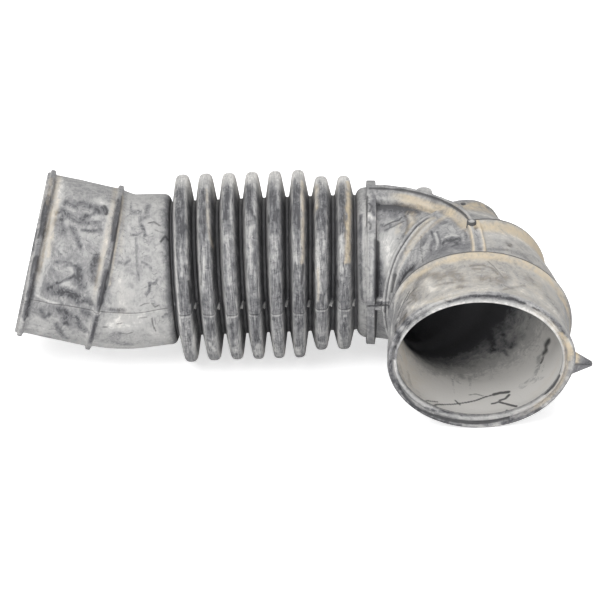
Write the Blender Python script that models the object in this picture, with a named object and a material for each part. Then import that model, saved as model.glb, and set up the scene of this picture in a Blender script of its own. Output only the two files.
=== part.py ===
# Washer exhaust duct: one moulded rubber piece with a round cuff, eight bellows folds,
# a ribbed elbow and an oval mouth. Metres, +Z up.
# It is built about its mould's parting plane, the plane of X and Y, with the cuff at -X and the
# mouth facing -Y, and is then laid down on the folds and the mouth that carry it on a table.

import bpy
import bmesh
import math
import numpy as np
from mathutils import Vector

mm = 0.001
degree = math.pi / 180
sides = 32

# straight tube, whose radius the others stand on, and the sleeve of the elbow
tube_radius = 37.5 * mm
body_wall = 2.75 * mm
sleeve_step = 2.7 * mm
sleeve_radius = tube_radius + sleeve_step

# cuff
cuff_step = 2.75 * mm
cuff_radius = tube_radius + cuff_step
cuff_wall = 3.0 * mm
cuff_tilt = 12.1 * degree
cuff_swing = 3.0 * degree
lip_length = 1.4 * mm
lip_height = 0.65 * mm
lip_rounding = 0.5 * mm
rim_bead_height = 2.15 * mm
rim_bead_width = 2.9 * mm
cuff_bead_at = 37.5 * mm
cuff_bead_height = 1.65 * mm
cuff_bead_width = 3.2 * mm

# neck between the cuff and the bellows
neck_step = 0.25 * mm
neck_taper = 1.9 * mm
neck_small_radius = tube_radius + neck_step
neck_large_radius = neck_small_radius + neck_taper
neck_length = 33.6 * mm
neck_rounding = 2.6 * mm
kink_length = 15.5 * mm
neck_sag = 5.2 * degree

# bellows
large_folds = 6
small_folds = 2
fold_pitch = 11.24 * mm
fold_width = 9.8 * mm
root_depth = 3.9 * mm
root_radius = tube_radius - root_depth
fold_height = 13.25 * mm
small_fold_height = 9.8 * mm
first_fold_gap = 7.7 * mm
bellows_wall = 2.2 * mm
bellows_sag = 2.8 * degree
tube_sag = 2.1 * degree

# shoulder of the straight tube and its square rib
shoulder_gap = 6.1 * mm
shoulder_rounding = 4.2 * mm
square_rib_gap = 13.4 * mm
square_rib_height = 3.4 * mm
square_rib_width = 4.4 * mm

# elbow
elbow_gap = 9.5 * mm
bend_inside = 14.8 * mm
elbow_radius = sleeve_radius + bend_inside
elbow_angle = 90 * degree
ring_angle = 45.6 * degree
ring_height = 3.2 * mm
ring_width = 4.8 * mm
ring_groove_depth = 0.8 * mm
rings_apart = 21.9 * degree
half_ring_angle = ring_angle + rings_apart
half_ring_height = 3.6 * mm
half_ring_width = 3.4 * mm
half_ring_full = 160 * degree
half_ring_end = 230 * degree

# mouth: half widths along X, half heights along Z
mouth_spread = 4.2 * mm
mouth_flattening = 1.5 * mm
mouth_half_width = sleeve_radius + mouth_spread
mouth_half_height = sleeve_radius - mouth_flattening
mouth_bead_at = 2.2 * mm
mouth_bead_height = 1.9 * mm
mouth_bead_width = 3.4 * mm
mouth_length = 36.0 * mm
mouth_wall = 2.9 * mm
rim_lip_height = 0.5 * mm
rim_face_width = 4.9 * mm
rim_groove_depth = 0.9 * mm
rim_depth = 4.5 * mm

# crown rib along the top of the elbow, the step at its foot, its peg and the band below it
crown_rise = 3.7 * mm
crown_height = sleeve_radius + crown_rise
crown_width = 3.3 * mm
crown_start = 1.0 * degree
crown_end = 69.0 * degree
ledge_reach = 8.3 * mm
peg_radius = 2.3 * mm
peg_rise = 1.6 * mm
band_width = 4.6 * mm
band_height = 1.1 * mm

# boss behind the crown rib, web in the crotch of the elbow, pull tab on the rim
boss_angle = 28.5 * degree
boss_offset = 7.5 * mm
boss_radius = 4.0 * mm
boss_height = 3.9 * mm
web_thickness = 3.0 * mm
web_reach = 7.0 * mm
tab_length = 10.0 * mm
tab_half_height = 5.8 * mm
tab_tip = 0.9 * mm
tab_thickness = 3.6 * mm
tab_drop = 1.6 * mm

# places along the centreline, counted from the cuff's end
kink_start = cuff_bead_at + cuff_bead_width
kink_end = kink_start + kink_length
neck_end = cuff_bead_at + neck_length
first_fold = neck_end + first_fold_gap
folds = large_folds + small_folds
last_fold = first_fold + (folds - 1) * fold_pitch
tube_start = last_fold + shoulder_gap
elbow_start = last_fold + elbow_gap
elbow_end = elbow_start + elbow_radius * elbow_angle
duct_end = elbow_end + mouth_length
square_rib_at = last_fold + square_rib_gap


def centreline():
    """Walk the centreline in short steps. Gives the steps, points, slopes and turns."""
    s = np.linspace(0, duct_end, 6001)
    slope = np.interp(s, [kink_start, kink_end, first_fold, last_fold, elbow_start],
                      [-cuff_tilt, neck_sag, bellows_sag, tube_sag, 0])
    turn = np.interp(s, [kink_start, kink_end], [cuff_swing, 0])
    turn = turn + np.interp(s, [elbow_start, elbow_end], [0, elbow_angle])
    along = np.stack([np.cos(slope) * np.cos(turn), -np.cos(slope) * np.sin(turn), np.sin(slope)], 1)
    steps = (along[1:] + along[:-1]) / 2 * np.diff(s)[:, None]
    points = np.vstack([np.zeros(3), np.cumsum(steps, 0)])
    return s, points, slope, turn


walk, walk_points, walk_slope, walk_turn = centreline()


def frame_at(s):
    """Centre, direction, side toward the inside of the elbow, and up, at a place s."""
    centre = np.array([np.interp(s, walk, walk_points[:, k]) for k in range(3)])
    slope = np.interp(s, walk, walk_slope)
    turn = np.interp(s, walk, walk_turn)
    along = np.array([math.cos(slope) * math.cos(turn), -math.cos(slope) * math.sin(turn),
                      math.sin(slope)])
    near = np.array([-math.sin(turn), -math.cos(turn), 0])
    return centre, along, near, np.cross(near, along)


def ring(s, half_width, half_height=None, shift=0.0, half_ring=0.0):
    """One ring of the skin. half_ring lifts the outer side, from the crown down, where it fades out."""
    if half_height is None:
        half_height = half_width
    centre, along, near, up = frame_at(s)
    angle = 2 * np.pi * np.arange(sides) / sides
    fade = np.clip((half_ring_end - angle) / (half_ring_end - half_ring_full), 0, 1)
    lift = half_ring * fade * (angle > 89 * degree)
    across = (half_width + lift) * np.cos(angle)
    rise = (half_height + lift) * np.sin(angle)
    return centre + shift * along + across[:, None] * near + rise[:, None] * up


def elbow_place(angle):
    return elbow_start + elbow_radius * angle


def angle_inside(half):
    """The angle that half a ring's width takes up on the inside of the bend."""
    return math.asin(half / bend_inside)


def skin_radius(angle):
    """Radius of the elbow's skin, which steps from the tube to the sleeve within the full ring."""
    step = 1.4 * ring_width / 2 / elbow_radius
    return np.interp(angle, [ring_angle - step, ring_angle + step], [tube_radius, sleeve_radius])


def swell(s):
    """Half width and half height of the sleeve as it opens from the half ring to the mouth."""
    share = np.clip((s - elbow_place(half_ring_angle)) / (elbow_end - elbow_place(half_ring_angle)), 0, 1)
    return (sleeve_radius + share * (mouth_half_width - sleeve_radius),
            sleeve_radius + share * (mouth_half_height - sleeve_radius))


def bead(s, base, crest, width, flank=0.3):
    """Four rings of a raised bead with a flat crest."""
    half = width / 2
    return [ring(s, base, shift=-half), ring(s, crest, shift=-half * (1 - flank)),
            ring(s, crest, shift=half * (1 - flank)), ring(s, base, shift=half)]


def cuff_outside():
    rim = lip_length + rim_bead_width / 2
    lip = cuff_radius + lip_height
    rings = [ring(0, lip - lip_rounding), ring(lip_rounding, lip)]
    rings += bead(rim, cuff_radius, cuff_radius + rim_bead_height, rim_bead_width)
    rings += bead(cuff_bead_at, cuff_radius, cuff_radius + cuff_bead_height, cuff_bead_width)
    return rings


def neck_radius(s):
    start = cuff_bead_at + cuff_bead_width / 2
    share = np.clip((s - start) / (neck_end - start), 0, 1)
    return neck_large_radius + share * (neck_small_radius - neck_large_radius)


def neck_outside():
    places = list(np.linspace(kink_start, kink_end, 4)) + [neck_end - neck_rounding]
    rings = [ring(s, neck_radius(s)) for s in places]
    for turn in (45 * degree, 90 * degree):
        rings.append(ring(neck_end - neck_rounding * (1 - math.sin(turn)),
                          neck_radius(neck_end) - neck_rounding * (1 - math.cos(turn))))
    return rings


def fold_crest(index):
    return root_radius + (fold_height if index < large_folds else small_fold_height)


def bellows_outside():
    """Each fold is half an ellipse standing on the root; narrow roots lie between the folds."""
    rings = [ring(first_fold - fold_pitch / 2, root_radius)]
    for index in range(folds):
        s = first_fold + index * fold_pitch
        rise = fold_crest(index) - root_radius
        for turn in (145, 114, 90, 66, 35):
            rings.append(ring(s + math.cos(turn * degree) * fold_width / 2,
                              root_radius + rise * math.sin(turn * degree)))
        if index < folds - 1:
            rings.append(ring(s + fold_pitch / 2, root_radius))
    return rings


def bellows_inside():
    """The same folds, one wall thickness further in."""
    rings = [ring(first_fold - fold_pitch / 2, root_radius - bellows_wall)]
    half = fold_width / 2 - bellows_wall
    for index in range(folds):
        s = first_fold + index * fold_pitch
        crest = fold_crest(index) - bellows_wall
        knee = root_radius + 0.62 * (crest - root_radius)
        rings += [ring(s - half, knee), ring(s, crest), ring(s + half, knee)]
        rings.append(ring(s + fold_pitch / 2, root_radius - bellows_wall))
    return rings


def tube_outside():
    rings = [ring(tube_start, root_radius)]
    for turn in (0, 45 * degree, 90 * degree):
        rings.append(ring(tube_start + shoulder_rounding * (1 - math.cos(turn)),
                          tube_radius - shoulder_rounding * (1 - math.sin(turn))))
    half = square_rib_width / 2
    crest = tube_radius + square_rib_height
    rings += [ring(square_rib_at - half, tube_radius), ring(square_rib_at - half, crest)]
    rings += [ring(square_rib_at, radius, shift=half) for radius in (crest, tube_radius)]
    return rings


def elbow_outside():
    """Between the rings the planes are radial; each ring has parallel planes, so its width is even."""
    before = ring_angle - angle_inside(ring_width / 2)
    rings = [ring(elbow_place(share * before), tube_radius) for share in (0.45, 0.75, 1)]
    half = ring_width / 2
    s = elbow_place(ring_angle)
    crest = sleeve_radius + ring_height
    rings += [ring(s, tube_radius, shift=-half), ring(s, crest, shift=-half * 0.7),
              ring(s, crest, shift=-half * 0.25), ring(s, crest - ring_groove_depth),
              ring(s, crest, shift=half * 0.25), ring(s, crest, shift=half * 0.7),
              ring(s, sleeve_radius, shift=half)]
    between = (ring_angle + angle_inside(half) + half_ring_angle - angle_inside(half_ring_width / 2)) / 2
    rings.append(ring(elbow_place(between), sleeve_radius))
    half = half_ring_width / 2
    s = elbow_place(half_ring_angle)
    rings += [ring(s, sleeve_radius, shift=-half),
              ring(s, sleeve_radius, shift=-half * 0.5, half_ring=half_ring_height),
              ring(s, sleeve_radius, shift=half * 0.5, half_ring=half_ring_height),
              ring(s, sleeve_radius, shift=half)]
    s = elbow_place((half_ring_angle + angle_inside(half) + elbow_angle) / 2)
    rings.append(ring(s, *swell(s)))
    return rings


def mouth_outside():
    half = mouth_bead_width / 2
    rings = []
    for shift, height in ((-half, 0), (-half * 0.6, mouth_bead_height), (half * 0.6, mouth_bead_height),
                          (half, 0)):
        rings.append(ring(elbow_end + mouth_bead_at + shift, mouth_half_width + height,
                          mouth_half_height + height))
    for back, height in ((rim_depth, 0), (rim_depth * 0.45, rim_lip_height), (0.15 * rim_depth, rim_lip_height),
                         (0, -0.3 * rim_lip_height)):
        rings.append(ring(duct_end - back, mouth_half_width + height, mouth_half_height + height))
    return rings


def mouth_face():
    """The rim's face: an outer lip, a groove and an inner lip that stands in from the wall."""
    rings = []
    for inset, back in ((0.34, 0), (0.42, 1), (0.6, 1), (0.68, 0.3), (1.0, 0.3)):
        rings.append(ring(duct_end - back * rim_groove_depth, mouth_half_width - inset * rim_face_width,
                          mouth_half_height - inset * rim_face_width))
    return rings


def mouth_inside():
    rings = [ring(duct_end - rim_depth * 0.6, mouth_half_width - rim_face_width,
                  mouth_half_height - rim_face_width)]
    for s in (duct_end - rim_depth, elbow_end):
        rings.append(ring(s, mouth_half_width - mouth_wall, mouth_half_height - mouth_wall))
    return rings


def elbow_inside():
    rings = []
    for share in (0.87, 0.75, 0.64):
        s = elbow_place(share * elbow_angle)
        width, height = swell(s)
        rings.append(ring(s, width - body_wall, height - body_wall))
    step = 1.4 * ring_width / 2 / elbow_radius
    for angle in (ring_angle + step, ring_angle - step, 0.67 * ring_angle, 0.35 * ring_angle):
        rings.append(ring(elbow_place(angle), skin_radius(angle) - body_wall))
    rings.append(ring(elbow_start, tube_radius - body_wall))
    rings.append(ring(tube_start + shoulder_rounding * 0.3, tube_radius - body_wall * 1.3))
    return rings


def cuff_inside():
    rings = [ring(neck_end - neck_rounding, neck_small_radius - body_wall * 1.3)]
    for s in np.linspace(kink_end, kink_start, 3):
        rings.append(ring(s, neck_radius(s) - body_wall))
    rings += [ring(cuff_bead_at, cuff_radius - cuff_wall), ring(lip_rounding, cuff_radius - cuff_wall),
              ring(0, cuff_radius - cuff_wall + lip_rounding)]
    return rings


def duct_rings():
    outside = cuff_outside() + neck_outside() + bellows_outside() + tube_outside()
    outside += elbow_outside() + mouth_outside() + mouth_face()
    inside = mouth_inside() + elbow_inside() + bellows_inside()[::-1] + cuff_inside()
    return np.array(outside + inside)


def skin_mesh(name, rings, closed=False):
    """A mesh through rings of points: the last joins the first, or both ends are capped."""
    shape = bmesh.new()
    rows = [[shape.verts.new(point) for point in row] for row in rings]
    pairs = list(zip(rows, rows[1:] + rows[:1])) if closed else list(zip(rows, rows[1:]))
    for one, two in pairs:
        for k in range(len(one)):
            j = (k + 1) % len(one)
            shape.faces.new((one[k], one[j], two[j], two[k]))
    if not closed:
        shape.faces.new(rows[0])
        shape.faces.new(rows[-1])
    bmesh.ops.recalc_face_normals(shape, faces=shape.faces)
    mesh = bpy.data.meshes.new(name)
    shape.to_mesh(mesh)
    shape.free()
    return mesh


def add_object(name, mesh, collection):
    item = bpy.data.objects.new(name, mesh)
    collection.objects.link(item)
    return item


def section_row(s, outline):
    """An outline of (across, rise) pairs, placed square to the centreline at s."""
    centre, along, near, up = frame_at(s)
    return [centre + across * near + rise * up for across, rise in outline]


def crown_rib(tools):
    """Flat-topped rib; its near side slopes down to a ledge before the ring and to the sleeve after."""
    half = crown_width / 2
    rows = []
    for angle in np.linspace(crown_start, crown_end, 13):
        past_ring = np.clip((angle - ring_angle * 0.8) / (ring_angle * 0.2), 0, 1)
        reach = ledge_reach * (1 - 0.2 * past_ring)
        foot = math.sqrt(sleeve_radius ** 2 - reach ** 2) - past_ring * 1.2 * mm
        rise = foot + 0.28 * (crown_height - foot)
        deep = skin_radius(angle) - body_wall / 2
        outline = [(-half, deep), (-half, crown_height), (half, crown_height),
                   (half + 0.4 * mm, crown_height - 1.4 * mm), (half + 0.34 * (reach - half), rise),
                   (reach, foot), (reach + 0.3 * mm, deep - 0.7 * mm), (half, deep)]
        rows.append(section_row(elbow_place(angle), outline))
    return add_object("crown_rib", skin_mesh("crown_rib", rows), tools)


def lower_band(tools):
    rows = []
    for s in np.linspace(elbow_place(crown_end - 1.5 * degree), elbow_end + mouth_bead_at, 5):
        height = swell(s)[1]
        half = band_width / 2
        outline = [(-half, height - body_wall / 2), (-half, height + band_height),
                   (half, height + band_height), (half, height - body_wall / 2)]
        rows.append(section_row(s, outline))
    return add_object("lower_band", skin_mesh("lower_band", rows), tools)


def post(name, s, across, radius, foot, top, tools):
    """An upright cylinder on the duct's crown."""
    centre, along, near, up = frame_at(s)
    place = centre + across * near + up * (foot + top) / 2
    bpy.ops.mesh.primitive_cylinder_add(vertices=20, radius=radius, depth=top - foot, location=place)
    item = bpy.context.active_object
    item.name = name
    for holder in list(item.users_collection):
        holder.objects.unlink(item)
    tools.objects.link(item)
    return item


def crotch_web(tools):
    """Short web on the parting plane from the square rib to the ring, in the bend's inside."""
    half = web_thickness / 2
    inner = tube_radius - body_wall / 2
    across = tube_radius + square_rib_height
    rows = []
    for s in (square_rib_at, square_rib_at + web_reach):
        centre = frame_at(square_rib_at)[0] + np.array([s - square_rib_at, 0, 0])
        near = np.array([0, -1, 0])
        up = np.array([0, 0, 1])
        rows.append([centre + a * near + b * up for a, b in ((inner, -half), (across, -half),
                                                             (across, half), (inner, half))])
    return add_object("crotch_web", skin_mesh("crotch_web", rows), tools)


def pull_tab(tools):
    """Pointed tab on the rim, at the outside of the elbow."""
    centre, along, near, up = frame_at(duct_end)
    base = mouth_half_width - rim_face_width * 0.3
    tip = mouth_half_width + tab_length
    rows = []
    for out, half, thick in ((base, tab_half_height, tab_thickness),
                             (mouth_half_width, tab_half_height, tab_thickness),
                             (tip, tab_tip, tab_thickness * 0.45)):
        back = 0.15 * rim_depth + tab_thickness / 2
        rows.append([centre - near * out - along * (back + a) + up * (b - tab_drop)
                     for a, b in ((-thick / 2, -half), (thick / 2, -half), (thick / 2, half), (-thick / 2, half))])
    return add_object("pull_tab", skin_mesh("pull_tab", rows), tools)


def join(body, tools):
    for tool in tools:
        union = body.modifiers.new("union_" + tool.name, "BOOLEAN")
        union.operation = "UNION"
        union.solver = "EXACT"
        union.object = tool
        bpy.context.view_layer.objects.active = body
        bpy.ops.object.modifier_apply(modifier=union.name)


def lay_down(points, feet):
    """Turn the points until the lowest spots of the three feet are level. Returns the turn."""
    total = np.eye(3)
    for repeat in range(12):
        spots = [points[foot][np.argmin((points[foot] @ total.T)[:, 2])] @ total.T for foot in feet]
        normal = np.cross(spots[1] - spots[0], spots[2] - spots[0])
        normal = normal / np.linalg.norm(normal) * np.sign(normal[2])
        step = Vector(normal).rotation_difference(Vector((0, 0, 1))).to_matrix()
        total = np.array(step) @ total
    return total


def place_mesh(mesh, turn):
    """Apply the turn, then put the origin at the bottom centre of the box around the mesh."""
    points = np.zeros(len(mesh.vertices) * 3)
    mesh.vertices.foreach_get("co", points)
    points = points.reshape(-1, 3) @ turn.T
    low = points.min(0)
    high = points.max(0)
    points -= [(low[0] + high[0]) / 2, (low[1] + high[1]) / 2, low[2]]
    mesh.vertices.foreach_set("co", points.ravel())
    mesh.update()


def rubber():
    material = bpy.data.materials.new("rubber")
    material.use_nodes = True
    shader = material.node_tree.nodes["Principled BSDF"]
    shader.inputs["Base Color"].default_value = (0.24, 0.235, 0.225, 1)
    shader.inputs["Roughness"].default_value = 0.78
    shader.inputs["Metallic"].default_value = 0
    return material


def main():
    for item in list(bpy.data.objects):
        bpy.data.objects.remove(item, do_unlink=True)
    finished = bpy.data.collections.new("exhaust_duct")
    tools = bpy.data.collections.new("added_ribs")
    for collection in (finished, tools):
        bpy.context.scene.collection.children.link(collection)

    hose = add_object("hose", skin_mesh("hose", duct_rings(), closed=True), finished)
    boss_place = elbow_place(boss_angle)
    peg_place = elbow_place(crown_end)
    added = [crown_rib(tools), lower_band(tools), crotch_web(tools), pull_tab(tools),
             post("peg", peg_place, 0, peg_radius, sleeve_radius - body_wall / 2, crown_height + peg_rise, tools),
             post("boss", boss_place, -boss_offset, boss_radius, tube_radius - body_wall * 0.86,
                  tube_radius + boss_height, tools)]
    join(hose, added)
    for item in added:
        bpy.data.objects.remove(item, do_unlink=True)
    bpy.data.collections.remove(tools)

    fold_rings = [ring(first_fold + index * fold_pitch, fold_crest(index)) for index in (0, large_folds - 1)]
    feet = np.array(fold_rings + [mouth_outside()[-2]])
    turn = lay_down(feet.reshape(-1, 3), np.arange(3 * sides).reshape(3, sides))
    place_mesh(hose.data, turn)

    hose.data.materials.clear()
    hose.data.materials.append(rubber())
    hose.data.shade_smooth()
    hose.data.set_sharp_from_angle(angle=35 * degree)


main()
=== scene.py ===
import math

import bpy
import numpy as np
from mathutils import Matrix, Vector


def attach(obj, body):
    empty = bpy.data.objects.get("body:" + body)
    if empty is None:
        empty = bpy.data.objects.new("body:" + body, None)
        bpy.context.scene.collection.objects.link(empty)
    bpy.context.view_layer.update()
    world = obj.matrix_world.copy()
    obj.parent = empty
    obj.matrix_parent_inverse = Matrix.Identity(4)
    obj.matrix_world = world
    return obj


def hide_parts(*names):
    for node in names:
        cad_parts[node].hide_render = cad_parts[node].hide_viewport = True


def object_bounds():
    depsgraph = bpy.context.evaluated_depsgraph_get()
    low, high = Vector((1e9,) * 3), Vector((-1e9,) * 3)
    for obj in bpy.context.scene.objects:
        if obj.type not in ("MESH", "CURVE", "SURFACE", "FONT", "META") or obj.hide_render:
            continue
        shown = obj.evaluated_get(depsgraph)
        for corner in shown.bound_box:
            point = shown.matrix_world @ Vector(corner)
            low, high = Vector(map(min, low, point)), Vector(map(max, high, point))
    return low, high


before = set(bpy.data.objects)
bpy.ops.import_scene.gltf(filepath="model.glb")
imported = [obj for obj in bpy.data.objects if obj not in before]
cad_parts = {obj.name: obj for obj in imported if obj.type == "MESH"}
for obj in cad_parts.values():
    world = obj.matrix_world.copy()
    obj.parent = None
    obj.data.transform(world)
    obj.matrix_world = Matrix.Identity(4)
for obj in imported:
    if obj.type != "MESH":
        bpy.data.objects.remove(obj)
cadLow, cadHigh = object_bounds()
mm = 0.001
degree = math.pi / 180

# The route of the duct, in mm and degrees, counted from the end of the cuff
route = {
    "cuffTilt": 12.1, "cuffSwing": 3.0, "neckSag": 5.2, "bellowsSag": 2.8, "tubeSag": 2.1,
    "kinkStart": 40.7, "kinkEnd": 56.2, "firstFold": 78.8, "lastFold": 157.48,
    "bendStart": 166.98, "bendRadius": 55.0, "mouthLength": 36.0,
    "tableUp": (-0.04443, 0.05368, 0.99757),   # the table's upward direction, seen from the mould's plane
    "place": (-132.08, 25.05, 58.23),          # where the cuff's end is after it is laid down
}
bendEnd = route["bendStart"] + route["bendRadius"] * math.pi / 2
ductEnd = bendEnd + route["mouthLength"]
skinStart = -90 * degree                       # the grids begin and end underneath
skinRadius = 40                                # turns degrees round the duct into mm for the strokes


def walkRoute():
    # the direction turns and climbs evenly between the listed places; the points add up its steps
    s = np.linspace(0, ductEnd, 6001)
    slope = np.interp(s, [route["kinkStart"], route["kinkEnd"], route["firstFold"], route["lastFold"],
                          route["bendStart"]],
                      np.array([-route["cuffTilt"], route["neckSag"], route["bellowsSag"],
                                route["tubeSag"], 0]) * degree)
    turn = np.interp(s, [route["kinkStart"], route["kinkEnd"]], [route["cuffSwing"] * degree, 0])
    turn = turn + np.interp(s, [route["bendStart"], bendEnd], [0, math.pi / 2])
    along = np.stack([np.cos(slope) * np.cos(turn), -np.cos(slope) * np.sin(turn), np.sin(slope)], 1)
    steps = (along[1:] + along[:-1]) / 2 * np.diff(s)[:, None]
    return s, np.vstack([np.zeros(3), np.cumsum(steps, 0)]), slope, turn


walk, walkPoints, walkSlope, walkTurn = walkRoute()
layDown = np.array(Vector(route["tableUp"]).rotation_difference(Vector((0, 0, 1))).to_matrix())


def onTable(points):
    # turned with the duct's own tilt, moved to its place, and kept inside the box of the solid part
    placed = (points @ layDown.T + np.array(route["place"])) * mm
    return np.clip(placed, np.array(cadLow) + 2e-5, np.array(cadHigh) - 2e-5)


def skin(s, phi, halfWidth, halfHeight=None):
    # centre of the route plus an ellipse: width toward the inside of the bend, height upward
    halfHeight = halfWidth if halfHeight is None else halfHeight
    centre = np.stack([np.interp(s, walk, walkPoints[:, k]) for k in range(3)], -1)
    slope = np.interp(s, walk, walkSlope)
    turn = np.interp(s, walk, walkTurn)
    along = np.stack([np.cos(slope) * np.cos(turn), -np.cos(slope) * np.sin(turn), np.sin(slope)], -1)
    near = np.stack([-np.sin(turn), -np.cos(turn), turn * 0], -1)
    up = np.cross(near, along)
    return centre + (halfWidth * np.cos(phi))[..., None] * near + (halfHeight * np.sin(phi))[..., None] * up


def columns(count, dense):
    # angles round the duct; each (angle, spread, boost) in dense packs more of them there
    fine = np.linspace(skinStart, skinStart + 2 * math.pi, 7201)
    density = np.ones_like(fine)
    for angle, spread, boost in dense:
        off = (fine - angle * degree + math.pi) % (2 * math.pi) - math.pi
        density += boost * np.exp(-(off / (spread * degree)) ** 2)
    total = np.concatenate([[0], np.cumsum((density[1:] + density[:-1]) / 2)])
    return np.interp(np.arange(count) / count, total / total[-1], fine)


def profile(corners, spacing):
    # straight runs through (s, r, rounding) corners; each corner is cut by a short curve
    points = np.array([c[:2] for c in corners], float)
    rounding = np.array([c[2] for c in corners], float)
    runs = np.diff(points, axis=0)
    length = np.maximum(np.linalg.norm(runs, axis=1), 1e-6)
    made = [points[:1]]
    for k in range(1, len(points) - 1):
        cut = min(rounding[k], 0.48 * length[k - 1], 0.48 * length[k])
        if cut <= 0.01:
            made.append(points[k:k + 1])
            continue
        start = points[k] - runs[k - 1] / length[k - 1] * cut
        end = points[k] + runs[k] / length[k] * cut
        t = np.linspace(0, 1, 4 + int(cut / spacing))[:, None]
        made.append((1 - t) ** 2 * start + 2 * t * (1 - t) * points[k] + t ** 2 * end)
    made = np.vstack(made + [points[-1:]])
    gaps = np.linalg.norm(np.diff(made, axis=0), axis=1)
    rows = []
    for a, b, gap in zip(made[:-1], made[1:], gaps):
        if gap > 1e-5:
            t = np.arange(max(1, int(round(gap / spacing)))) / max(1, int(round(gap / spacing)))
            rows.append(a + t[:, None] * (b - a))
    rows = np.vstack(rows + [made[-1:]])
    return rows[:, 0], rows[:, 1]


def innerProfile(corners, spacing):
    # the inside runs back to the start, so its places are negated while the rows are made
    s, r = profile([(-place, radius, rounding) for place, radius, rounding in corners], spacing)
    return -s, r


def grid(s, phi):
    return s[:, None] + 0 * phi, phi + 0 * s[:, None]


def refine(s, r, low, high, count):
    # evenly spaced rows take the place of those between low and high
    more = np.linspace(low, high, count)
    return (np.concatenate([s[s < low], more, s[s > high]]),
            np.concatenate([r[s < low], np.interp(more, s, r), r[s > high]]))


def wobble(s, phi, seed, size):
    # a sum of slow waves round and along the duct, between about -1 and 1, the same at each run
    rng = np.random.default_rng(seed)
    total = 0 * s * phi
    for k in range(9):
        around = rng.integers(0, 2 + k)
        total = total + np.cos(around * phi + rng.uniform(0, 6.28)) * np.cos(
            2 * math.pi * s / (size * rng.uniform(0.6, 2.2)) + rng.uniform(0, 6.28))
    return total / 4


def smoothStep(x, low, high):
    t = np.clip((x - low) / (high - low), 0, 1)
    return t * t * (3 - 2 * t)


def bump(x, width):
    return np.exp(-(x / width) ** 2)


partingPath = {   # where the mould's parting line runs on the near side: place along the duct, degrees
    0: -3.4, 15: -2.6, 35: -0.8, 45: -1.1, 60: -0.8, 71: 0.2, 79: 1.8, 90: 1.0, 101: 0.1, 135: -0.2,
    157: -0.9, 166: -1.2, 180: -0.4, 300: 0.0,
}


def partingAngle(s):
    return (np.interp(s, list(partingPath), list(partingPath.values())) + 0.25 * np.sin(s / 3.3)) * degree


def strokeShare(S, F, points, width, sharp, ragged):
    # 1 on the line through (place, degrees) points, fading to 0 over the width
    middle = points.mean(0)
    inBend = route["bendStart"] < middle[0] < bendEnd
    stretch = 1 - skinRadius * math.cos(middle[1] * degree) / route["bendRadius"] if inBend else 1.0
    x = (S - middle[0]) * stretch
    y = ((F - middle[1] * degree + math.pi) % (2 * math.pi) - math.pi) * skinRadius
    line = (points - middle) * [stretch, skinRadius * degree]
    nearest = np.full(S.shape, 1e6)
    line = np.vstack([line, line + 0.01]) if len(line) == 1 else line
    for a, b in zip(line[:-1], line[1:]):
        run = b - a
        t = np.clip(((x - a[0]) * run[0] + (y - a[1]) * run[1]) / (run @ run + 1e-9), 0, 1)
        nearest = np.minimum(nearest, np.hypot(x - a[0] - t * run[0], y - a[1] - t * run[1]))
    nearest = nearest + ragged * width * (0.1 if sharp else 0.32)
    return 1 - smoothStep(nearest, width * 0.3 * sharp, width * (1.1 if sharp else 1.25))


def paint(S, F, tone, strokes, **layers):
    # strokes: by kind, rows of width in mm, strength, then place along and degrees round for each point
    start = {"tone": tone, **layers}
    marks = {key: start.get(key, 0) + 0 * S for key in ("tone", "ochre", "mark", "pale", "crease")}
    ragged = wobble(S, F * 12, 51, 2.0) + 0.7 * wobble(S, F * 5, 52, 5.0)
    for kind, rows in strokes.items():
        for width, strength, *flat in rows:
            points = np.array(flat, float).reshape(-1, 2)
            share = strength * strokeShare(S, F, points, width, kind == "crease", ragged)
            marks[kind] = marks[kind] + share if kind == "tone" else np.maximum(marks[kind], share)
    return marks


def joined(outside, inside):
    return {key: np.concatenate([outside[key], inside[key]]) for key in outside}


def partingLine(s, phi, radius):
    # a thin groove with a low flash ridge under it, on the near and the far side; gives its height
    near = (phi - partingAngle(s)) * radius
    far = (phi - math.pi + partingAngle(s)) * radius
    waver = 1 + 0.35 * np.sin(s / 3.1) * np.sin(s / 11.0)
    return waver * (-0.34 * bump(near, 0.34) + 0.2 * bump(near + 0.8, 0.45)
                    - 0.3 * bump(far, 0.45) + 0.15 * bump(far + 1.0, 0.6))


def closedSkin(name, outer, inner, marks, look):
    # rows of points run along the outside and back along the inside, so the skin closes on itself
    points = np.concatenate([outer, inner])
    rows, cols = points.shape[:2]
    index = np.arange(rows * cols).reshape(rows, cols)
    right = np.roll(index, -1, 1)
    faces = np.stack([index, np.roll(index, -1, 0), np.roll(right, -1, 0), right], -1).reshape(-1, 4)
    mesh = bpy.data.meshes.new(name)
    mesh.from_pydata(onTable(points).reshape(-1, 3).tolist(), [], faces.tolist())
    # the map: how far along the profile, and how far round
    run = np.linalg.norm(np.diff(points, axis=0, append=points[:1]), axis=2).mean(1)
    u = np.concatenate([[0], np.cumsum(run)])
    arc = np.linalg.norm(np.diff(points, axis=1, append=points[:, :1]), axis=2).mean(0)
    v = np.concatenate([[0], np.cumsum(arc)])
    i, j = np.divmod(np.arange(rows * cols), cols)
    uv = np.stack([np.stack([u[i], v[j]], 1), np.stack([u[i + 1], v[j]], 1),
                   np.stack([u[i + 1], v[j + 1]], 1), np.stack([u[i], v[j + 1]], 1)], 1)
    return finishPiece(name, mesh, uv, marks, look)


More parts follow.
